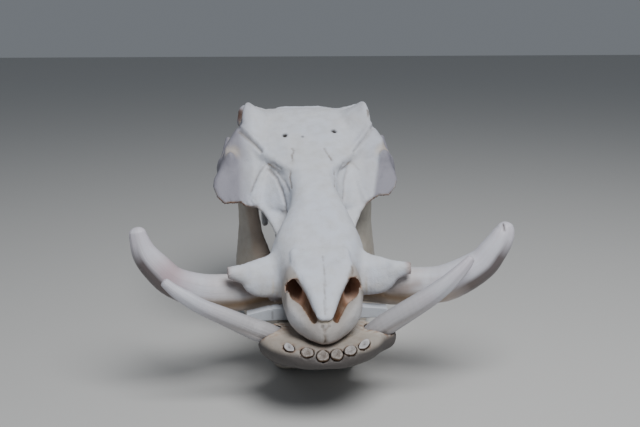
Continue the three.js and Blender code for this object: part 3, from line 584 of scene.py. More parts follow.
def peg_room(tooth):
    """The room of a worn front tooth, open at the top."""
    x, y, z, width, depth, turn = tooth
    low = (x, y + 10 * np.sin(FRONT_TILT), z - 10 * np.cos(FRONT_TILT))
    high = (x, y - 6 * np.sin(FRONT_TILT), z + 6 * np.cos(FRONT_TILT))
    halves = (depth + 0.7, width + 0.7)
    tall = [-np.sin(turn), np.cos(turn) * np.cos(FRONT_TILT), np.cos(turn) * np.sin(FRONT_TILT)]
    return one_sided(sweep([[*low, *halves], [*high, *halves]], tall))


def drawn_in(field, by):
    """A field that lies nearer the middle on the skull's own left."""
    return lambda x, y, z, side: field(x + by * (side > 0), y, z, side)


def carved(a, b, r):
    """One field with another cut away."""
    return lambda x, y, z, side: carve(a(x, y, z, side), b(x, y, z, side), r)


CRANIUM_STEPS = [
    (join, loft(SNOUT_ROWS, 13), 8),
    (join, loft(MUZZLE_ROWS, 6), 8),
    (join, sweep(TUSK_SOCKET_PATH), 10),
    (join, sweep(TOOTH_RIDGE_PATH), 8),
    (carve, sweep(RAMP_PATH), 5),
    (carve, sweep(NOTCH_PATH, BACKWARD), 2),
    (carve, sweep(NOSTRIL_PATH), 2),
    (join, loft(NOSE_ROWS, 4), 1.5),
    (join, carved(sweep(WING_PATH, WING_TALL), ellipsoid(*WING_END), 2), 8),
    (join, cheek_sheet, 9),
    (join, loft(SLOPE_ROWS, 6), 9),
    (join, forehead, 6),
    (join, ellipsoid(*EYE_WALL), 8),
    (join, sweep(ARCH_PATH), 7),
    (join, sweep(CHEEK_SPUR_PATH), 6),
    (join, ellipsoid(*BACK_OF_SKULL), 10),
    (join, sweep(NAPE_PATH), 8),
    (join, sweep(EAR_SPUR_PATH, BACKWARD), 6),
    (join, ellipsoid(*EAR_CAPSULE), 5),
    (join, sweep(PALATE_WING_PATH), 4),
    (join, ellipsoid(*NECK_KNOB), 5),
    (join, drawn_in(sweep(BEHIND_EYE_PATH), BEHIND_EYE_IN), 5),
    (carve, sweep(EYE_SOCKET_PATH), 3),
    (carve, ellipsoid(*CORD_HOLE), 3),
    (carve, ellipsoid(*NOSE_PASSAGE), 3),
    (carve, tusk_room(UPPER_TUSK_LEFT), 1),
    (carve, tusk_room(UPPER_TUSK_RIGHT), 1),
]
MANDIBLE_STEPS = [
    (join, loft(CHIN_ROWS, 7), 8),
    (join, jaw_sheet, 10),
    (join, ellipsoid(*JAW_CONDYLE), 6),
    (join, one_sided(ellipsoid(*JAW_SOCKET_LEFT)), 8),
    (join, one_sided(ellipsoid(*JAW_SOCKET_RIGHT)), 8),
    (carve, sweep(CHIN_TROUGH_PATH), 6),
    (carve, tusk_room(LOWER_TUSK_LEFT), 1),
    (carve, tusk_room(LOWER_TUSK_RIGHT), 1),
] + [(carve, peg_room(tooth), 1) for tooth in FRONT_TEETH]


def bone_at(steps, x, y, z, side):
    """A bone's field: each step joins or carves the next field."""
    value = steps[0][1](x, y, z, side)
    for how, field, fillet in steps[1:]:
        value = how(value, field(x, y, z, side), fillet)
    return value


def unbent(x, y):
    """How far a point lies from the middle line of the snout, which bends a little to its left."""
    return x - sum(shift * np.exp(-(((y - middle) / reach) ** 2)) for shift, middle, reach in BENDS)


def cranium(p):
    """The cranium's field."""
    x, y, z = p.T
    return bone_at(CRANIUM_STEPS, np.abs(unbent(x, y)), y, z, x)


def mandible(p):
    """The lower jaw's field, flat where it stands on the table."""
    x, y, z = p.T
    return np.maximum(bone_at(MANDIBLE_STEPS, np.abs(x), y, z, x), -z)


def grid_values(field, low, high, cell, block=4):
    """The field on a grid. Blocks far from the surface take their middle's value throughout."""
    blocks = np.ceil((np.array(high) - low) / (cell * block)).astype(int)
    index = np.stack(np.meshgrid(*map(np.arange, blocks), indexing="ij"), -1).reshape(-1, 3)
    middle = field(low + (index + 0.5) * cell * block)
    far = 1.6 * np.sqrt(3) * 0.5 * block * cell
    values = middle.reshape(blocks).repeat(block, 0).repeat(block, 1).repeat(block, 2)
    corner = np.stack(np.meshgrid(*[np.arange(block)] * 3, indexing="ij"), -1).reshape(-1, 3)
    points = (index[np.abs(middle) <= far][:, None] * block + corner).reshape(-1, 3)
    for part in np.array_split(points, max(len(points) // 200000, 1)):
        values[tuple(part.T)] = field(low + part * cell)
    return values


def net(values, low, cell):
    """A closed surface of four-sided faces: one corner in each grid cell that the surface crosses."""
    inside = values < 0
    sizes = np.array(values.shape) - 1
    total = np.zeros((*sizes, 3))
    count = np.zeros(sizes)
    offsets = [(i, j, k) for i in (0, 1) for j in (0, 1) for k in (0, 1)]
    for start in offsets:
        for axis in range(3):
            if start[axis]:
                continue
            end = tuple(s + (a == axis) for a, s in enumerate(start))
            take = [tuple(slice(s, s + n) for s, n in zip(o, sizes)) for o in (start, end)]
            va, vb = values[take[0]], values[take[1]]
            crosses = inside[take[0]] != inside[take[1]]
            t = np.where(crosses, va / np.where(crosses, va - vb, 1), 0)
            for a in range(3):
                total[..., a] += np.where(crosses, start[a] + (t if a == axis else 0), 0)
            count += crosses
    used = count > 0
    number = np.full(sizes, -1)
    number[used] = np.arange(used.sum())
    where = np.argwhere(used)
    points = low + cell * (where + total[used] / count[used][:, None])
    faces = []
    for axis in range(3):
        u, v = [(1, 2), (2, 0), (0, 1)][axis]
        here = [slice(1, n) for n in sizes]
        here[axis] = slice(0, sizes[axis])
        there = list(here)
        there[axis] = slice(1, sizes[axis] + 1)
        a, b = inside[tuple(here)], inside[tuple(there)]
        cells = np.argwhere(a != b) + [0 if k == axis else 1 for k in range(3)]
        turned = b[tuple((cells - [0 if k == axis else 1 for k in range(3)]).T)]
        quad = []
        for du, dv in ((1, 1), (0, 1), (0, 0), (1, 0)):
            c = cells.copy()
            c[:, u] -= du
            c[:, v] -= dv
            quad.append(number[tuple(c.T)])
        quad = np.stack(quad, 1)
        quad[turned] = quad[turned][:, ::-1]
        faces.append(quad)
    return points, np.concatenate(faces)


def slopes(field, points, step=0.5):
    """The field and the direction in which it grows, by differences."""
    value = field(points)
    grads = [field(points + step * axis) - field(points - step * axis) for axis in np.eye(3)]
    grads = np.stack(grads, 1)
    size = np.linalg.norm(grads, axis=1, keepdims=True) + 1e-9
    return value, grads / size, size[:, 0] / (2 * step)


def bone_surface(field, low, high, cell):
    """The surface of a bone: the net, drawn onto the place where the field is zero, with its normals."""
    low = np.array(low, float)
    points, faces = net(grid_values(field, low, high, cell), low, cell)
    for _ in range(2):
        value, normal, steep = slopes(field, points)
        move = np.clip(value / np.maximum(steep, 0.5), -0.5 * cell, 0.5 * cell)
        points = points - normal * move[:, None]
    return points, faces, normal


def piece(name, points, faces, material, replaced, masks=None):
    """A mesh in metres that stands for a node of the frame, kept inside the frame's box."""
    mesh = bpy.data.meshes.new(name)
    low, high = np.array(frame_bounds)
    placed = np.clip((points - MIDDLE) * MM, low + 0.0001, high - 0.0001)
    mesh.vertices.add(len(placed))
    mesh.vertices.foreach_set("co", placed.astype(np.float32).ravel())
    sides = faces.shape[1]
    mesh.loops.add(faces.size)
    mesh.loops.foreach_set("vertex_index", faces.astype(np.int32).ravel())
    mesh.polygons.add(len(faces))
    mesh.polygons.foreach_set("loop_start", np.arange(0, faces.size, sides, dtype=np.int32))
    mesh.update(calc_edges=True)
    mesh.validate()
    mesh.shade_smooth()
    for mask, value in (masks or {}).items():
        attribute = mesh.attributes.new(mask, "FLOAT", "POINT")
        attribute.data.foreach_set("value", value.astype(np.float32))
    obj = bpy.data.objects.new(name, mesh)
    bpy.context.scene.collection.objects.link(obj)
    mesh.materials.append(material)
    triangles = len(faces) * (sides - 2)
    if triangles > MOST_TRIANGLES:
        fewer = obj.modifiers.new("fewer", "DECIMATE")
        fewer.ratio = MOST_TRIANGLES / triangles
        bpy.context.view_layer.update()
        shown = obj.evaluated_get(bpy.context.evaluated_depsgraph_get())
        obj.modifiers.clear()
        obj.data = bpy.data.meshes.new_from_object(shown)
    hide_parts(replaced)
    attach(obj, "root")
    return obj


def place_camera():
    """The camera: its place, then how far it is turned about the upright and raised, in degrees."""
    turn, rise = np.radians([CAMERA["turn"], CAMERA["rise"]])
    back = np.array([np.sin(turn) * np.cos(rise), -np.cos(turn) * np.cos(rise), np.sin(rise)])
    right = np.array([np.cos(turn), np.sin(turn), 0])
    up = np.cross(back, right)
    data = bpy.data.cameras.new("camera")
    data.lens = CAMERA["lens"]
    data.clip_start = 0.05
    camera = bpy.data.objects.new("camera", data)
    bpy.context.scene.collection.objects.link(camera)
    place = (np.array(CAMERA["at"]) - MIDDLE) * MM
    matrix = np.eye(4)
    matrix[:3] = np.column_stack([right, up, back, place])
    camera.matrix_world = Matrix(matrix.tolist())
    bpy.context.scene.camera = camera


place_camera()


def ripple(points, size):
    """Gentle lumps between -1 and 1: the mean of sines along slanting directions, about size apart."""
    total = np.zeros(len(points))
    ways = ([1, 0.7, 0.3], [-0.6, 1, 0.5], [0.4, -0.8, 1], [0.9, 0.5, -0.9], [-0.3, 0.6, 1.2])
    for i, way in enumerate(ways):
        total += np.sin(points @ np.array(way) * (6.28 / size) * (1 + 0.17 * i) + 1.7 * i)
    return total / 5


def line_distance(points, line):
    """How far each point lies from a line of straight parts."""
    best = np.full(len(points), np.inf)
    line = np.array(line, float)
    for a, b in zip(line[:-1], line[1:]):
        d = b - a
        t = np.clip((points - a) @ d / (d @ d), 0, 1)
        best = np.minimum(best, np.linalg.norm(points - a - t[:, None] * d, axis=1))
    return best


def cut_lines(points, normals, lines):
    """Grooves or ridges along lines, and a mask of how deep in a groove each point lies."""
    wavy = points + 0.7 * np.column_stack([ripple(points + 40 * k, 9) for k in range(3)])
    depth = np.zeros(len(points))
    mask = np.zeros(len(points))
    for deep, width, ink, line in lines:
        fall = np.exp(-((line_distance(wavy, line) / width) ** 2))
        depth += deep * fall
        mask = np.maximum(mask, ink * fall)
    return points - normals * depth[:, None], mask


def cavity(field, points, normals):
    """How hemmed in a point is, 0 to 1: how far the field falls short of the step taken along the normal."""
    total = np.zeros(len(points))
    for step in (3, 8, 16):
        total += np.clip(1 - field(points + step * normals) / step, 0, 1)
    return total / 3


def near_surface(field, points, width, side=None):
    """A mask that is 1 inside a field and falls off over a width outside it."""
    x, y, z = points.T
    value = field(np.abs(x) if side is None else x, y, z, x)
    return np.exp(-((np.maximum(value, 0) / width) ** 2))


def link_in(tree, made, inputs):
    """Sets a shader node's inputs: sockets are linked and plain values are set on the node itself."""
    for key, value in inputs.items():
        socket = made.inputs[key]
        if isinstance(value, bpy.types.NodeSocket):
            tree.links.new(value, socket)
        elif socket.type == "RGBA":
            socket.default_value = (*value, 1)
        else:
            socket.default_value = value


def node(tree, kind, inputs, output=0, **settings):
    """A shader node's output."""
    made = tree.nodes.new("ShaderNode" + kind)
    for key, value in settings.items():
        setattr(made, key, value)
    link_in(tree, made, inputs)
    return made.outputs[output]


def attribute(tree, name):
    """A number stored at each corner of the mesh."""
    return node(tree, "Attribute", {}, "Fac", attribute_name=name)


def noise(tree, place, scale, detail=4.0):
    """Cloudy noise between 0 and 1."""
    return node(tree, "TexNoise", {"Vector": place, "Scale": scale, "Detail": detail}, "Fac")


def remap(tree, value, low, high, to_low=0.0, to_high=1.0):
    """A value taken from one range to another and kept inside it."""
    inputs = {"Value": value, "From Min": low, "From Max": high, "To Min": to_low, "To Max": to_high}
    return node(tree, "MapRange", inputs, "Result")


def maths(tree, operation, a, b):
    """Two values added, multiplied and so on, kept between 0 and 1."""
    return node(tree, "Math", {0: a, 1: b}, operation=operation, use_clamp=True)


def layered(tree, color, layers):
    """A colour with other colours laid over it, each by its mask."""
    for mask, over in layers:
        color = node(tree, "Mix", {0: mask, 6: color, 7: over}, 2, data_type="RGBA")
    return color


def material(name, color_and_height, roughness, bump):
    """A material from a function that gives its colour and height. The bump is in metres."""
    made = bpy.data.materials.new(name)
    made.use_nodes = True
    tree = made.node_tree
    shader = tree.nodes["Principled BSDF"]
    place = node(tree, "TexCoord", {}, "Object")
    color, height = color_and_height(tree, place)
    normal = node(tree, "Bump", {"Height": height, "Distance": bump, "Strength": 1.0}, "Normal")
    link_in(tree, shader, {"Base Color": color, "Normal": normal, "Roughness": roughness})
    return made


def wear_group():
    """Shared by the bones: grain, pores and clouds as masks."""
    tree = bpy.data.node_groups.new("wear", "ShaderNodeTree")
    tree.interface.new_socket("Place", in_out="INPUT", socket_type="NodeSocketVector")
    names = ("Clouds", "Mottle", "Pores", "Height")
    for name in names:
        tree.interface.new_socket(name, in_out="OUTPUT", socket_type="NodeSocketFloat")
    place = tree.nodes.new("NodeGroupInput").outputs[0]
    out = tree.nodes.new("NodeGroupOutput")
    clouds = remap(tree, noise(tree, place, 16.0, 3.0), 0.35, 0.68)
    mottle = remap(tree, noise(tree, place, 90.0, 6.0), 0.42, 0.72)
    dots = node(tree, "TexVoronoi", {"Vector": place, "Scale": 420.0}, "Distance")
    where = remap(tree, noise(tree, place, 45.0, 2.0), 0.52, 0.66)
    pores = maths(tree, "MULTIPLY", remap(tree, dots, 0.0, 0.22, 1.0, 0.0), where)
    grain = noise(tree, place, 700.0, 5.0)
    lumps = noise(tree, place, 70.0, 5.0)
    height = maths(tree, "ADD", maths(tree, "MULTIPLY", grain, 0.3), maths(tree, "MULTIPLY", lumps, 0.7))
    height = maths(tree, "SUBTRACT", height, maths(tree, "MULTIPLY", pores, 0.25))
    for name, value in zip(names, (clouds, mottle, pores, height)):
        tree.links.new(value, out.inputs[name])
    return tree


WEAR = wear_group()


def wear(tree, place):
    """The four masks of the shared wear."""
    group = tree.nodes.new("ShaderNodeGroup")
    group.node_tree = WEAR
    tree.links.new(place, group.inputs[0])
    return [group.outputs[name] for name in ("Clouds", "Mottle", "Pores", "Height")]


def bone_color(tree, place):
    """Cool white bone: cream clouds, brown stains, dark seams, and painted shade in hollows, grooves and
    holes, on faces turned down and on the cheeks' sides.
    """
    clouds, mottle, pores, height = wear(tree, place)
    painted_hollow_shade = remap(tree, attribute(tree, "cavity"), 0.3, 0.95)
    stain = attribute(tree, "stain")
    uneven = remap(tree, noise(tree, place, 60.0, 5.0), 0.3, 0.62, 0.45, 1.0)
    layers = [
        (maths(tree, "MULTIPLY", clouds, 0.6), (0.62, 0.62, 0.62)),
        (maths(tree, "MULTIPLY", mottle, 0.34), (0.47, 0.455, 0.43)),
        # Painted shade on the sides of the cheeks.
        (attribute(tree, "shade"), (0.25, 0.245, 0.29)),
        (attribute(tree, "ramp"), (0.33, 0.3, 0.275)),
        # A cream tone, which in the hollows is painted shade.
        (maths(tree, "MULTIPLY", attribute(tree, "warm_tone_and_hollow_shade"), 0.75), (0.6, 0.52, 0.4)),
        # Painted shade in the hollows.
        (maths(tree, "MULTIPLY", painted_hollow_shade, 0.5), (0.42, 0.37, 0.31)),
        # Brown stains; on faces turned down this is painted shade.
        (maths(tree, "MULTIPLY", stain, uneven), (0.25, 0.1, 0.038)),
        (attribute(tree, "wall"), (0.5, 0.34, 0.26)),
        (maths(tree, "MULTIPLY", pores, 0.5), (0.3, 0.25, 0.2)),
        # Dark seams, and painted shade along the grooves.
        (attribute(tree, "line"), (0.2, 0.165, 0.135)),
        # Painted shade: near black in the holes, deep in the nostrils and in the eye sockets.
        (attribute(tree, "dark"), (0.012, 0.008, 0.006)),
    ]
    return layered(tree, (0.62, 0.66, 0.75), layers), height


def jaw_color(tree, place):
    """Beige-brown bone, greyer on the broad sides, orange-brown stains round the teeth, painted shade in
    hollows and sockets and a painted shadow on the front.
    """
    clouds, mottle, pores, height = wear(tree, place)
    painted_hollow_shade = remap(tree, attribute(tree, "cavity"), 0.3, 0.95)
    uneven = remap(tree, noise(tree, place, 70.0, 5.0), 0.3, 0.62, 0.4, 1.0)
    layers = [
        (maths(tree, "MULTIPLY", clouds, 0.6), (0.47, 0.4, 0.31)),
        (maths(tree, "MULTIPLY", mottle, 0.35), (0.36, 0.29, 0.22)),
        # A brown tone, which in the hollows is painted shade.
        (maths(tree, "MULTIPLY", attribute(tree, "warm_tone_and_hollow_shade"), 0.75), (0.42, 0.3, 0.22)),
        # Painted shade in the hollows.
        (maths(tree, "MULTIPLY", painted_hollow_shade, 0.4), (0.3, 0.23, 0.17)),
        (maths(tree, "MULTIPLY", attribute(tree, "stain"), uneven), (0.28, 0.12, 0.045)),
        (maths(tree, "MULTIPLY", attribute(tree, "pale"), uneven), (0.66, 0.62, 0.54)),
        (maths(tree, "MULTIPLY", pores, 0.6), (0.2, 0.15, 0.11)),
        # Painted shadow on the front of the jaw and round the teeth.
        (attribute(tree, "painted_jaw_shadow"), (0.07, 0.062, 0.06)),
        (attribute(tree, "line"), (0.16, 0.1, 0.07)),
        # Painted shade: near black deep in the sockets.
        (attribute(tree, "dark"), (0.012, 0.008, 0.006)),
    ]
    return layered(tree, (0.47, 0.445, 0.41), layers), height


def ivory_color(tree, place):
    """Cream ivory with a lilac middle, brown streaks along the groove and brown towards the socket, with
    painted shade on the underside of the upper tusks.
    """
    along = attribute(tree, "along")
    length = maths(tree, "MULTIPLY", along, 0.16)
    round_it = {"Y": attribute(tree, "turn_x"), "Z": attribute(tree, "turn_y")}
    stretched = node(tree, "CombineXYZ", {"X": length, **round_it})
    streaks = remap(tree, noise(tree, stretched, 7.0, 6.0), 0.42, 0.7)
    fine = noise(tree, stretched, 26.0, 4.0)
    near_root = remap(tree, along, 0.75, 0.3)
    blotch = remap(tree, noise(tree, place, 28.0, 4.0), 0.36, 0.66)
    uneven = remap(tree, noise(tree, place, 80.0, 5.0), 0.3, 0.6, 0.6, 1.0)
    lilac = maths(tree, "MULTIPLY", blotch, remap(tree, along, 0.3, 0.55, 0.1, 0.7))
    root = maths(tree, "MULTIPLY", remap(tree, along, 0.62, 0.15), remap(tree, blotch, 0, 1, 0.35, 0.9))
    layers = [
        (lilac, (0.62, 0.57, 0.64)),
        (maths(tree, "MULTIPLY", attribute(tree, "rosy"), 0.75), (0.5, 0.36, 0.39)),
        (root, (0.62, 0.56, 0.48)),
        (maths(tree, "MULTIPLY", attribute(tree, "cream"), 0.75), (0.47, 0.37, 0.29)),
        (maths(tree, "MULTIPLY", streaks, 0.16), (0.5, 0.42, 0.37)),
        (attribute(tree, "grey"), (0.36, 0.355, 0.38)),
        # Painted shade on the underside of the upper tusks.
        (attribute(tree, "painted_underside_shade"), (0.125, 0.1, 0.1)),
        (maths(tree, "MULTIPLY", attribute(tree, "groove"), near_root), (0.34, 0.23, 0.14)),
        (maths(tree, "MULTIPLY", attribute(tree, "stain"), uneven), (0.2, 0.095, 0.045)),
        (attribute(tree, "dark"), (0.05, 0.035, 0.03)),
    ]
    height = maths(tree, "ADD", maths(tree, "MULTIPLY", fine, 0.5), maths(tree, "MULTIPLY", streaks, 0.3))
    return layered(tree, (0.67, 0.69, 0.76), layers), height


def tooth_color(tree, place):
    """Worn teeth: cream at the rim, paler in the middle, with a dark dot of pulp; the dark brown base is
    partly painted shade.
    """
    blotch = remap(tree, noise(tree, place, 220.0, 4.0), 0.35, 0.65)
    layers = [
        (maths(tree, "MULTIPLY", blotch, 0.5), (0.19, 0.15, 0.12)),
        (attribute(tree, "bright"), (0.4, 0.39, 0.4)),
        (attribute(tree, "rim"), (0.14, 0.085, 0.05)),
        (attribute(tree, "dark"), (0.05, 0.035, 0.028)),
    ]
    # The dark brown base is partly the teeth's own colour and partly painted shade.
    return layered(tree, (0.165, 0.142, 0.127), layers), blotch


def strip_color(tree, place):
    """A plain bluish white strip with faint scuffs and a painted shade line at its notch."""
    scuffs = remap(tree, noise(tree, place, 120.0, 5.0), 0.5, 0.75, 0.0, 0.35)
    layers = [(scuffs, (0.44, 0.45, 0.46)), (attribute(tree, "dark"), (0.1, 0.08, 0.07))]
    return layered(tree, (0.56, 0.595, 0.65), layers), scuffs


BONE = material("bone", bone_color, 0.62, 0.0012)
JAW_BONE = material("jaw_bone", jaw_color, 0.6, 0.0014)
IVORY = material("ivory", ivory_color, 0.36, 0.0006)
ENAMEL = material("enamel", tooth_color, 0.38, 0.0004)
WHITE = material("strip", strip_color, 0.7, 0.0002)


def make_cranium():
    """The cranium with its seams, holes and stains, and painted shade on the cheeks, on faces turned down,
    and in hollows, grooves and holes.
    """
    start, faces, normals = bone_surface(cranium, *CRANIUM_GRID, CELL)
    shut = cavity(cranium, start, normals)
    points, line = cut_lines(start, normals, FACE_LINES)
    points, hole = cut_lines(points, normals, FACE_HOLES)
    x, y, z = start.T
    out = np.abs(x)
    lower = share(z, 177, 171) * share(z, 150, 160) * share(out, 55, 68)
    wing_end = share(out, 84, 90) * share(z, 140, 136)
    relief = 0.3 * ripple(points, 21) + 0.16 * ripple(points, 8) + 1.3 * (lower + wing_end) * ripple(start, 5)
    points = points - normals * relief[:, None]
    bent = np.column_stack([unbent(x, y), y, z])
    nose = loft(NOSE_ROWS, 4)(np.abs(bent[:, 0]), y, z, x)
    nostril = near_surface(sweep(NOSTRIL_PATH), bent, 0.7) * share(nose, 0.5, 1.6)
    ramp = near_surface(sweep(NOSTRIL_PATH), bent, 14) * share(y, 86, 62) * share(nose, 0.2, 1.2)
    eye = near_surface(sweep(EYE_SOCKET_PATH), start, 2)
    tusks = [near_surface(tusk_room(rows), start, 5, 1) for rows in (UPPER_TUSK_LEFT, UPPER_TUSK_RIGHT)]
    # Painted shade: faces turned down and the lower edges of the cheeks take the stain's brown; the wing ends
    # are browned as well.
    painted_underside_shade = share(-normals[:, 2], 0.2, 0.9)
    edge = 0.9 * np.maximum(lower * share(normals[:, 2], 0.1, -0.3), 0.7 * wing_end)
    stain = np.maximum.reduce([nostril, eye, 0.75 * tusks[0], 0.75 * tusks[1], 0.45 * painted_underside_shade, edge])
    rear = 0.6 * share(y, 270, 330) * share(-normals[:, 1], 0.2, -0.6)
    # Cream on faces turned back and in patches low on the snout; the part that follows the hollows is painted
    # shade.
    warm_tone_and_hollow_shade = np.maximum(ease(share(shut, 0.2, 0.7)), rear)
    warm_tone_and_hollow_shade = np.maximum(warm_tone_and_hollow_shade, 0.5 * share(z, 140, 90) * share(ripple(start, 26), -0.5, 0.6) * share(y, 45, 60))
    # Painted shade: the outer faces of the cheeks are darkened, on the skull's left mostly outside the fold.
    fold = share(out - 0.3 * (z - 195), 76, 80)
    shade = share(z - 0.9 * (y - 235), 260, 236) * share(z, 140, 160)
    shade *= np.where(x < 0, share(out, 62, 80), (0.25 + 0.75 * fold) * share(out, 48, 66))
    masks = {"stain": stain, "warm_tone_and_hollow_shade": warm_tone_and_hollow_shade, "cavity": shut, "line": line, "shade": shade}
    masks["wall"] = nostril * share(y, 42, 50)
    masks["ramp"] = np.maximum(ramp, 0.9 * share(y, 20, 4) * share(nose, 0.2, 1.2))
    # Painted shade: near black deep in the nostrils, in the small holes and in the eye sockets.
    shadow = nostril * np.maximum(share(nose, 3.5, 1.2) * share(shut, 0.35, 0.6), 0.45 * share(y, 46, 38))
    masks["dark"] = np.clip(np.maximum.reduce([hole, shadow, 0.6 * eye]), 0, 1)
    piece("skull_bone", points, faces, BONE, "cranium", masks)


def make_mandible():
    """The lower jaw, stained round its teeth and brown along the edges of its upright parts, with a painted
    shadow on its front and painted shade in its hollows and sockets.
    """
    points, faces, normals = bone_surface(mandible, *MANDIBLE_GRID, CELL)
    shut = cavity(mandible, points, normals)
    placed, line = cut_lines(points, normals, JAW_LINES)
    flat = points[:, 2] < 0.6
    lumps = np.where(flat, 0, 0.3 * ripple(points, 17) + 0.12 * ripple(points, 7))
    placed = np.where(flat[:, None], points, placed - normals * lumps[:, None])
    x, y, z = points.T
    pegs = np.maximum.reduce([near_surface(peg_room(t), points, 2.6, 1) for t in FRONT_TEETH])
    inner = np.maximum.reduce([near_surface(peg_room(t), points, 0.5, 1) for t in FRONT_TEETH])
    sockets = [near_surface(tusk_room(rows), points, 5, 1) for rows in (LOWER_TUSK_LEFT, LOWER_TUSK_RIGHT)]
    rim = [near_surface(tusk_room(rows), points, 2.5, 1) for rows in (LOWER_TUSK_LEFT, LOWER_TUSK_RIGHT)]
    patchy = share(ripple(points, 11), -0.2, 0.5)
    stain = np.maximum(0.8 * pegs * patchy, 0.9 * np.maximum(*sockets) * share(ripple(points, 8), -0.3, 0.3))
    upright = share(z, 60, 100) * share(np.abs(normals[:, 0]), 0.92, 0.6)
    # Brown on the upright sides of the skull's right half; the part that follows the hollows is painted
    # shade.
    warm_tone_and_hollow_shade = np.maximum(0.6 * upright * share(x, 30, -10), 0.8 * ease(share(shut, 0.25, 0.7)))
    masks = {"stain": stain, "warm_tone_and_hollow_shade": warm_tone_and_hollow_shade, "cavity": shut, "line": line}
    pale_rim = 0.8 * np.maximum(*rim) * share(ripple(points, 9), 0.0, 0.5)
    masks["pale"] = np.maximum(pale_rim, share(x, 20, 45) * share(z, 90, 120))
    # Painted shade: near black deep in the rooms of the front teeth and in the tusk sockets.
    masks["dark"] = np.maximum(inner * share(shut, 0.45, 0.8), np.maximum(*rim) * share(shut, 0.75, 0.95))
    # Painted shadow: the front of the jaw below the teeth is darkened almost to black, and the top near the
    # teeth in part.
    front = 0.97 * share(z, 76, 69.5)
    masks["painted_jaw_shadow"] = np.maximum(front, 0.42 * share(y, 34, 6)) * share(y, 90, 50)
    piece("lower_jaw", placed, faces, JAW_BONE, "mandible", masks)


def ring_surface(rings):
    """Rings of corners joined into a tube that is closed at both ends."""
    steps, sides = rings.shape[:2]
    i, k = np.meshgrid(np.arange(steps - 1), np.arange(sides), indexing="ij")
    after = (k + 1) % sides
    here, there = i * sides, (i + 1) * sides
    quads = np.stack([here + k, here + after, there + after, there + k], -1).reshape(-1, 4)
    half = sides // 2
    n = np.arange(half - 1)
    cap = np.stack([n, sides - 1 - n, sides - 2 - n, n + 1], 1)
    ends = [cap, cap[:, ::-1] + (steps - 1) * sides]
    return rings.reshape(-1, 3), np.concatenate([quads, *ends])


def make_tusk(name, stations):
    """A tusk: a round section with a lengthwise groove, fine ridges and a rounded tip, along a curve."""
    steps, sides = TUSK_MESH
    path = smooth_path(stations, 24)
    far = np.append(0, np.cumsum(np.linalg.norm(np.diff(path[:, :3], axis=0), axis=1)))
    far /= far[-1]
    tip = TIP * stations[-1][3]
    t = np.append(np.linspace(0, 1 - tip, steps - 16), np.full(16, 1 - tip))
    late = np.append(np.zeros(steps - 16), np.linspace(0, np.pi / 2, 17)[1:])
    t = t + tip * np.sin(late)
    rows = np.array([np.interp(t, far, column) for column in path.T]).T
    radius = (rows[:, 3] * np.maximum(np.cos(late), 0.05))[:, None]
    along = np.gradient(rows[:, :3], axis=0)
    along /= np.linalg.norm(along, axis=1, keepdims=True)
    front = np.array([0, -1, 0]) + along * along[:, 1:2]
    front /= np.linalg.norm(front, axis=1, keepdims=True)
    up = np.cross(along, front)
    angle = np.linspace(0, 2 * np.pi, sides, endpoint=False)[None]
    t = t[:, None]
    turned = angle * np.sign(up[:, 2:])
    lift = np.sin(turned)
    groove = np.angle(np.exp(1j * (turned - GROOVE["at"] - 0.15 * np.sin(9 * t)))) / GROOVE["width"]
    groove = np.exp(-(groove**2)) * (1 - 0.6 * share(t, 0.5, 0.95))
    ridges = 0.003 * np.sin(7 * angle + 3 * t) - 0.02 * np.cos(3 * angle - 0.6)
    rings = 0.004 * np.sin(140 * t + 2 * np.sin(angle)) * share(t, 0.9, 0.5)
    r = radius * (1 - GROOVE["depth"] * groove + ridges + rings)
    way = front[:, None] * np.cos(angle)[..., None] + up[:, None] * np.sin(angle)[..., None]
    points, faces = ring_surface(rows[:, None, :3] + r[..., None] * way)
    large = float(name.startswith("upper"))
    base = share(lift, -0.62, -0.85) * share(t, 0.6, 0.3)
    bend = share(lift, 0.1, -0.25) * share(t, 0.55, 0.66) * share(t, 0.93, 0.84)
    stain = sum(np.exp(-((line_distance(points, path) / 4.5) ** 2)) for path in TUSK_STAINS)
    full = np.ones_like(r)
    masks = {
        "along": full * t,
        "turn_x": full * np.cos(angle),
        "turn_y": full * np.sin(angle),
        "groove": groove * (0.2 + 0.8 * large),
        "cream": large * share(lift, 0.1, -0.15) * share(t, 0.7, 0.5),
        # Painted shade on the underside, near the root and under the outer bend.
        "painted_underside_shade": large * np.maximum(0.3 * base, 0.97 * bend),
        "rosy": large * share(lift, -0.3, 0.2) * np.exp(-(((t - 0.72) / 0.09) ** 2)) * (stations[0][0] < 0),
        "stain": 0.65 * large * stain.reshape(r.shape),
        "grey": 0.75 * (1 - large) * full * share(t, 1, 0.3),
        "dark": np.exp(-((line_distance(points, TUSK_SPLIT) / 1.0) ** 2)).reshape(r.shape),
    }
    masks = {mask: value.ravel() for mask, value in masks.items()}
    piece(name + "_ivory", points, faces, IVORY, name, masks)


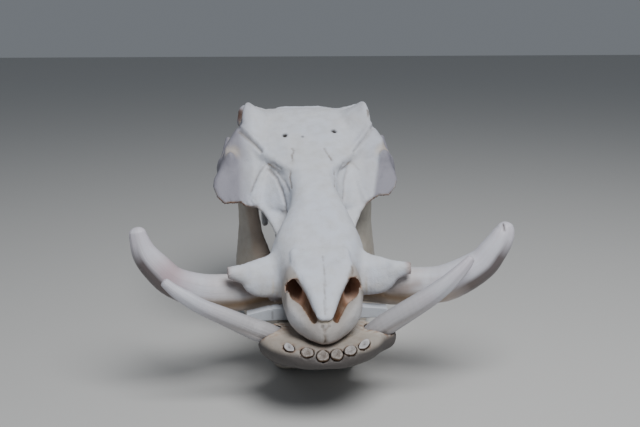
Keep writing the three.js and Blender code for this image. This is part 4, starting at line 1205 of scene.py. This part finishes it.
def make_front_tooth(number, tooth):
    """A worn peg with a dished face, an enamel rim and a dot of pulp."""
    x, y, z, width, depth, turn = tooth
    reach = np.array([0, 0.12, 0.25, 0.5, 0.72, 0.88, 0.97, 1, 1, 0.97, 0.85])
    height = np.array([-0.5, -0.4, -0.2, 0.1, 0.35, 0.4, 0.2, -0.4, -2.5, -7, -FRONT_ROOT])
    angle = np.linspace(0, 2 * np.pi, 28, endpoint=False)
    wobble = 1 + 0.05 * np.sin(3 * angle + number) + 0.03 * np.sin(5 * angle + 2 * number)
    out = np.maximum(reach, 0.02)[:, None] * wobble
    wide, deep = out * width * np.cos(angle), out * depth * np.sin(angle)
    across, back = wide * np.cos(turn) - deep * np.sin(turn), wide * np.sin(turn) + deep * np.cos(turn)
    rings = np.stack([across, back, height[:, None] + 0 * out], -1)
    c, s = np.cos(FRONT_TILT), np.sin(FRONT_TILT)
    points, faces = ring_surface(rings @ np.array([[1, 0, 0], [0, c, s], [0, -s, c]]) + [x, y, z])
    full = np.ones_like(out)
    bright = {1: 0.85, 5: 0.3, 6: 0.85}.get(number, 0)
    middle = 0.3 * (reach[:, None] < 0.15)
    if number in (1, 6):
        middle = 0.85 * np.exp(-((reach[:, None] / 0.2) ** 2))
    masks = {
        "bright": full * bright,
        "rim": full * share(reach[:, None], 0.95, 1) * (height[:, None] > -3),
        "dark": full * middle,
    }
    masks = {mask: value.ravel() for mask, value in masks.items()}
    piece(f"front_tooth_{number}", points, faces, ENAMEL, f"lower_incisor_{number}", masks)


def make_cheek_tooth(name, y, half_length, half_width, side, upper):
    """A cheek tooth: a column of close pillars with a bumpy bite."""
    angle = np.linspace(0, 2 * np.pi, 72, endpoint=False)
    pillars = 1 - 0.05 * np.abs(np.sin(half_length * 0.45 * np.cos(angle) * 1.6))
    heights = np.array([0, 0, 0.4, 1.2, 4, 10, BITE["height"]])
    reach = np.array([0.02, 0.6, 0.9, 1, 1, 1, 0.95])
    out = reach[:, None] * pillars
    wide, long = out * half_width * np.sin(angle), out * half_length * np.cos(angle)
    rings = np.stack([wide, long, heights[:, None] + 0 * out], -1)
    if not upper:
        rings[..., 2] *= -1
        rings[..., 0] *= -1
    rings[..., 2] += BITE["gap"] if upper else -BITE["gap"]
    slope = np.arctan(BITE["slope"])
    c, s = np.cos(slope), np.sin(slope)
    turned = rings @ np.array([[1, 0, 0], [0, c, s], [0, -s, c]])
    turned += [side * BITE["x"], y, BITE["z"] + BITE["slope"] * (y - BITE["y"])]
    points, faces = ring_surface(turned)
    level = np.repeat(heights, 72)
    masks = {"bright": 0.3 * (level < 3), "rim": 0.5 * share(level, 5, 12), "dark": 0 * level}
    piece(name + "_enamel", points, faces, ENAMEL, name, masks)


def make_strip():
    """The straight strip across the jaw, with softened edges and a small notch."""
    half = np.array(STRIP["size"]) / 2
    t = np.linspace(-half[0], half[0], 142)
    u = np.linspace(0, 2 * np.pi, 48, endpoint=False)
    wide, tall = (np.clip(1.42 * v, -1, 1) * size for v, size in ((np.cos(u), half[1]), (np.sin(u), half[2])))
    fall = 0.24 * np.maximum(-46 - t, 0) + 0.1 * np.maximum(t - 36, 0)
    lowered = fall[:, None] * share(np.sin(u), -0.7, 0.7)
    notch = np.exp(-(((t + 46.5) / 1.1) ** 2))[:, None] * (np.sin(u) > 0.3)
    rings = np.stack([t[:, None] + 0 * u, wide + 0 * t[:, None], tall - 1.2 * notch - lowered], -1)
    points, faces = ring_surface(rings + STRIP["at"])
    # Painted shade: a dark line down the sides at the notch.
    dark = np.exp(-(((t + 45) / 0.7) ** 2))[:, None] * (np.abs(np.sin(u)) < 0.5) * 0.6
    piece("strip", points, faces, WHITE, "spacer_strip", {"dark": dark.ravel()})


make_cranium()
make_mandible()
for name, stations in TUSKS.items():
    make_tusk(name, stations)
for number, tooth in enumerate(FRONT_TEETH, 1):
    make_front_tooth(number, tooth)
for tooth_name, (y, half_length, half_width) in CHEEK_TEETH.items():
    for side_name, side in (("left", 1), ("right", -1)):
        for row_name in ("upper", "lower"):
            name = f"{row_name}_{tooth_name}_{side_name}"
            make_cheek_tooth(name, y, half_length, half_width, side, row_name == "upper")
make_strip()


def floor():
    """A wide plain floor at the height of the table."""
    bpy.ops.mesh.primitive_plane_add(size=12)
    plane = bpy.context.object
    plane.name = "floor"
    pale = bpy.data.materials.new("floor")
    pale.use_nodes = True
    pale.node_tree.nodes["Principled BSDF"].inputs["Base Color"].default_value = (0.55, 0.55, 0.54, 1)
    pale.node_tree.nodes["Principled BSDF"].inputs["Roughness"].default_value = 0.9
    plane.data.materials.append(pale)


def lights():
    """Soft light all round with a large soft lamp above and in front."""
    world = bpy.data.worlds.new("soft")
    bpy.context.scene.world = world
    world.use_nodes = True
    world.node_tree.nodes["Background"].inputs["Color"].default_value = (0.84, 0.91, 1.0, 1)
    world.node_tree.nodes["Background"].inputs["Strength"].default_value = 0.2
    lamp = bpy.data.lights.new("key", "AREA")
    lamp.shape = "DISK"
    lamp.size = 0.9
    lamp.energy = 24
    obj = bpy.data.objects.new("key", lamp)
    obj.location = (0.25, -0.75, 1.4)
    obj.rotation_euler = (Vector((0, 0, 0.1)) - obj.location).to_track_quat("-Z", "Y").to_euler()
    bpy.context.scene.collection.objects.link(obj)


floor()
lights()
